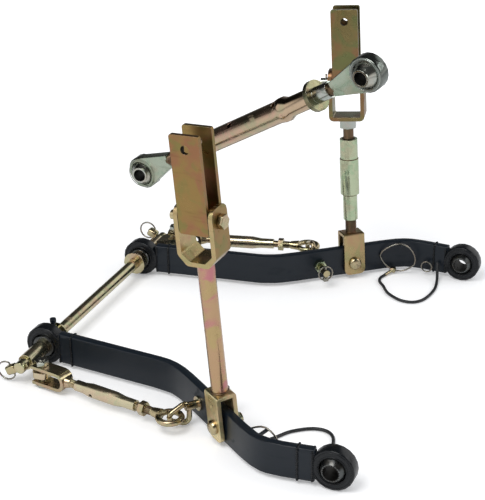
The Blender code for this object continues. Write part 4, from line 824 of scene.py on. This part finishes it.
def thread(name, body, line, start, end, radius, pitch, depth=0.0007, finish="thread"):
    """A ridge round a screw between two heights along its line."""
    spot, axis = lines_at[line]
    first, second = square_to(axis)
    count = round((end - start) / pitch * THREAD_STEPS)
    rows = []
    for k in range(count + 1):
        turn = 2 * math.pi * k / THREAD_STEPS
        out = first * math.cos(turn) + second * math.sin(turn)
        height = start + (end - start) * k / count
        low = radius - THREAD_ROOT
        fade = min(1, 2 * k / THREAD_STEPS, 2 * (count - k) / THREAD_STEPS)
        high = low + (depth + THREAD_ROOT) * fade
        profile = ((-0.42, low), (-0.10, high), (0.10, high), (0.42, low))
        rows.append([
            spot + axis * (height + step * pitch) + out * reach for step, reach in profile
        ])
    ride_with(skin(name, rows), body, finish)


# %% [markdown]
# The screws of the right rod, the top link and the stabilisers show where they leave their
# barrels. Where a screw runs into its barrel or tube as the hitch moves, its ridge is lower
# than the gap there.

# %% Threads on the screws
ROD_SCREW, TOP_SCREW, STABILISER_SCREW = 0.0088, 0.0094, 0.0059
COARSE, FINE = 0.0022, 0.0015
RUNS_IN = 0.0001
rod, top = "right_barrel_turn", "top_barrel_turn"
thread("rod_upper_thread", "right_yoke", rod, 0.2206, 0.2392, ROD_SCREW, COARSE, RUNS_IN)
thread("rod_lower_thread", "right_foot", rod, 0.0556, 0.0762, ROD_SCREW, COARSE)
thread("top_front_thread", "top_front_eye", top, 0.0640, 0.1040, TOP_SCREW, COARSE)
for side in SIDES:
    for end, body, start, stop, depth, finish in (
        ("fork", "fork", 0.0565, 0.0660, 0.0005, "gold"),
        ("inner", "stabiliser_eye", 0.1778, 0.1850, RUNS_IN, "thread"),
        ("outer", "stabiliser_eye", 0.1950, 0.2050, 0.0005, "thread"),
    ):
        thread(
            f"{side}_{end}_thread", f"{side}_{body}", side + "_tube_turn",
            start, stop, STABILISER_SCREW, FINE, depth, finish,
        )
print("threads on the rod, the top link and the stabilisers")

# %% [markdown]
# ## Welds on the arms
# The rings are welded to the bent bars. A bead is a loop round the joint whose thickness
# goes up and down a little, as the welder's hand moves on.

# %% Weld beads
BEAD_STEP = 0.0009
NECK_WELD_OUT, RING_WELD_OUT = 0.0498, 0.0288  # from the middle of the ball


def bead(name, body, spot, ahead, half_thickness, half_height, radius):
    """A weld bead round a bar of that section, square to the way ahead."""
    aside = Vector((-ahead.y, ahead.x, 0))
    corners = [
        spot + aside * half_thickness * a + Vector((0, 0, half_height * b))
        for a, b in ((-1, -1), (1, -1), (1, 1), (-1, 1))
    ]
    points = []
    for a, b in zip(corners, corners[1:] + corners[:1]):
        steps = max(3, round((b - a).length / BEAD_STEP))
        points += [a.lerp(b, k / steps) for k in range(steps)]
    made = wire(name, points, radius, cyclic=True, sides=3)
    for k, knot in enumerate(made.data.splines[0].points):
        knot.radius *= 1 + 0.28 * math.sin(k * 1.9) + 0.12 * math.sin(k * 0.71)
    ride_with(made, body, "ring")


for side, sign in SIDES.items():
    for end, inward, slope in (("front", 1, 0.11), ("rear", -1, -0.091)):
        centre = lines_at[f"{side}_{end}_socket"][0]
        ahead = Vector((1, sign * slope, 0)).normalized()
        at_neck = centre + ahead * inward * NECK_WELD_OUT
        at_ring = centre + ahead * inward * RING_WELD_OUT
        bead(f"{side}_{end}_weld", side + "_arm", at_neck, ahead, 0.0076, 0.0243, 0.0016)
        bead(f"{side}_{end}_ring_weld", side + "_arm", at_ring, ahead, 0.0084, 0.0225, 0.0014)
print("weld beads on both arms")

# %% [markdown]
# ## Lips of the sockets
# The ring of each socket is pressed over its ball and ends in a thin rolled lip, and on the
# arms a turned groove runs round it further out. On the right rod's barrel, dark hoops are
# painted shade in its grooves and painted shadow at its top, and the left rod has a weld
# at its foot. All are hoops of wire that lie half in the face.

# %% Hoops
def hoop(name, body, line, height, radius, thickness, finish):
    """A ring of wire round a line, at a height along it."""
    spot, axis = lines_at[line]
    first, second = square_to(axis)
    centre = spot + axis * height
    turns = [2 * math.pi * k / 64 for k in range(64)]
    points = [centre + (first * math.cos(t) + second * math.sin(t)) * radius for t in turns]
    ride_with(wire(name, points, thickness, cyclic=True, sides=3), body, finish)


faces_of_ring = {"near": -1, "far": 1}
for side in SIDES:
    for end in ("front", "rear"):
        for face, way_out in faces_of_ring.items():
            name, socket = f"{side}_{end}_{face}", f"{side}_{end}_socket"
            height = way_out * 0.0105
            hoop(name + "_lip", side + "_arm", socket, height, 0.0212, 0.0010, "ring")
            hoop(name + "_rim", side + "_arm", socket, height, 0.0272, 0.0007, "ring")
for end in ("front", "rear"):
    for face, way_out in faces_of_ring.items():
        hoop(
            f"top_{end}_{face}_lip", f"top_{end}_eye", f"top_link_{end}_bore",
            way_out * 0.0097, 0.0229, 0.0006, "silver",
        )
# Dark hoops on the barrel: painted shade in its grooves, and painted shadow at its top.
hoop("barrel_upper_groove", "right_barrel", rod, 0.1855, 0.0152, 0.0008, "thread")
hoop("barrel_lower_groove", "right_barrel", rod, 0.1213, 0.0124, 0.0007, "thread")
hoop("barrel_top_shadow", "right_barrel", rod, 0.2196, 0.0104, 0.0010, "bore")
hoop("rod_foot_weld", "left_rod", "left_rod_line", 0.0548, 0.0121, 0.0015, "thread")
print("lips and rims on six sockets, grooves on the barrel")
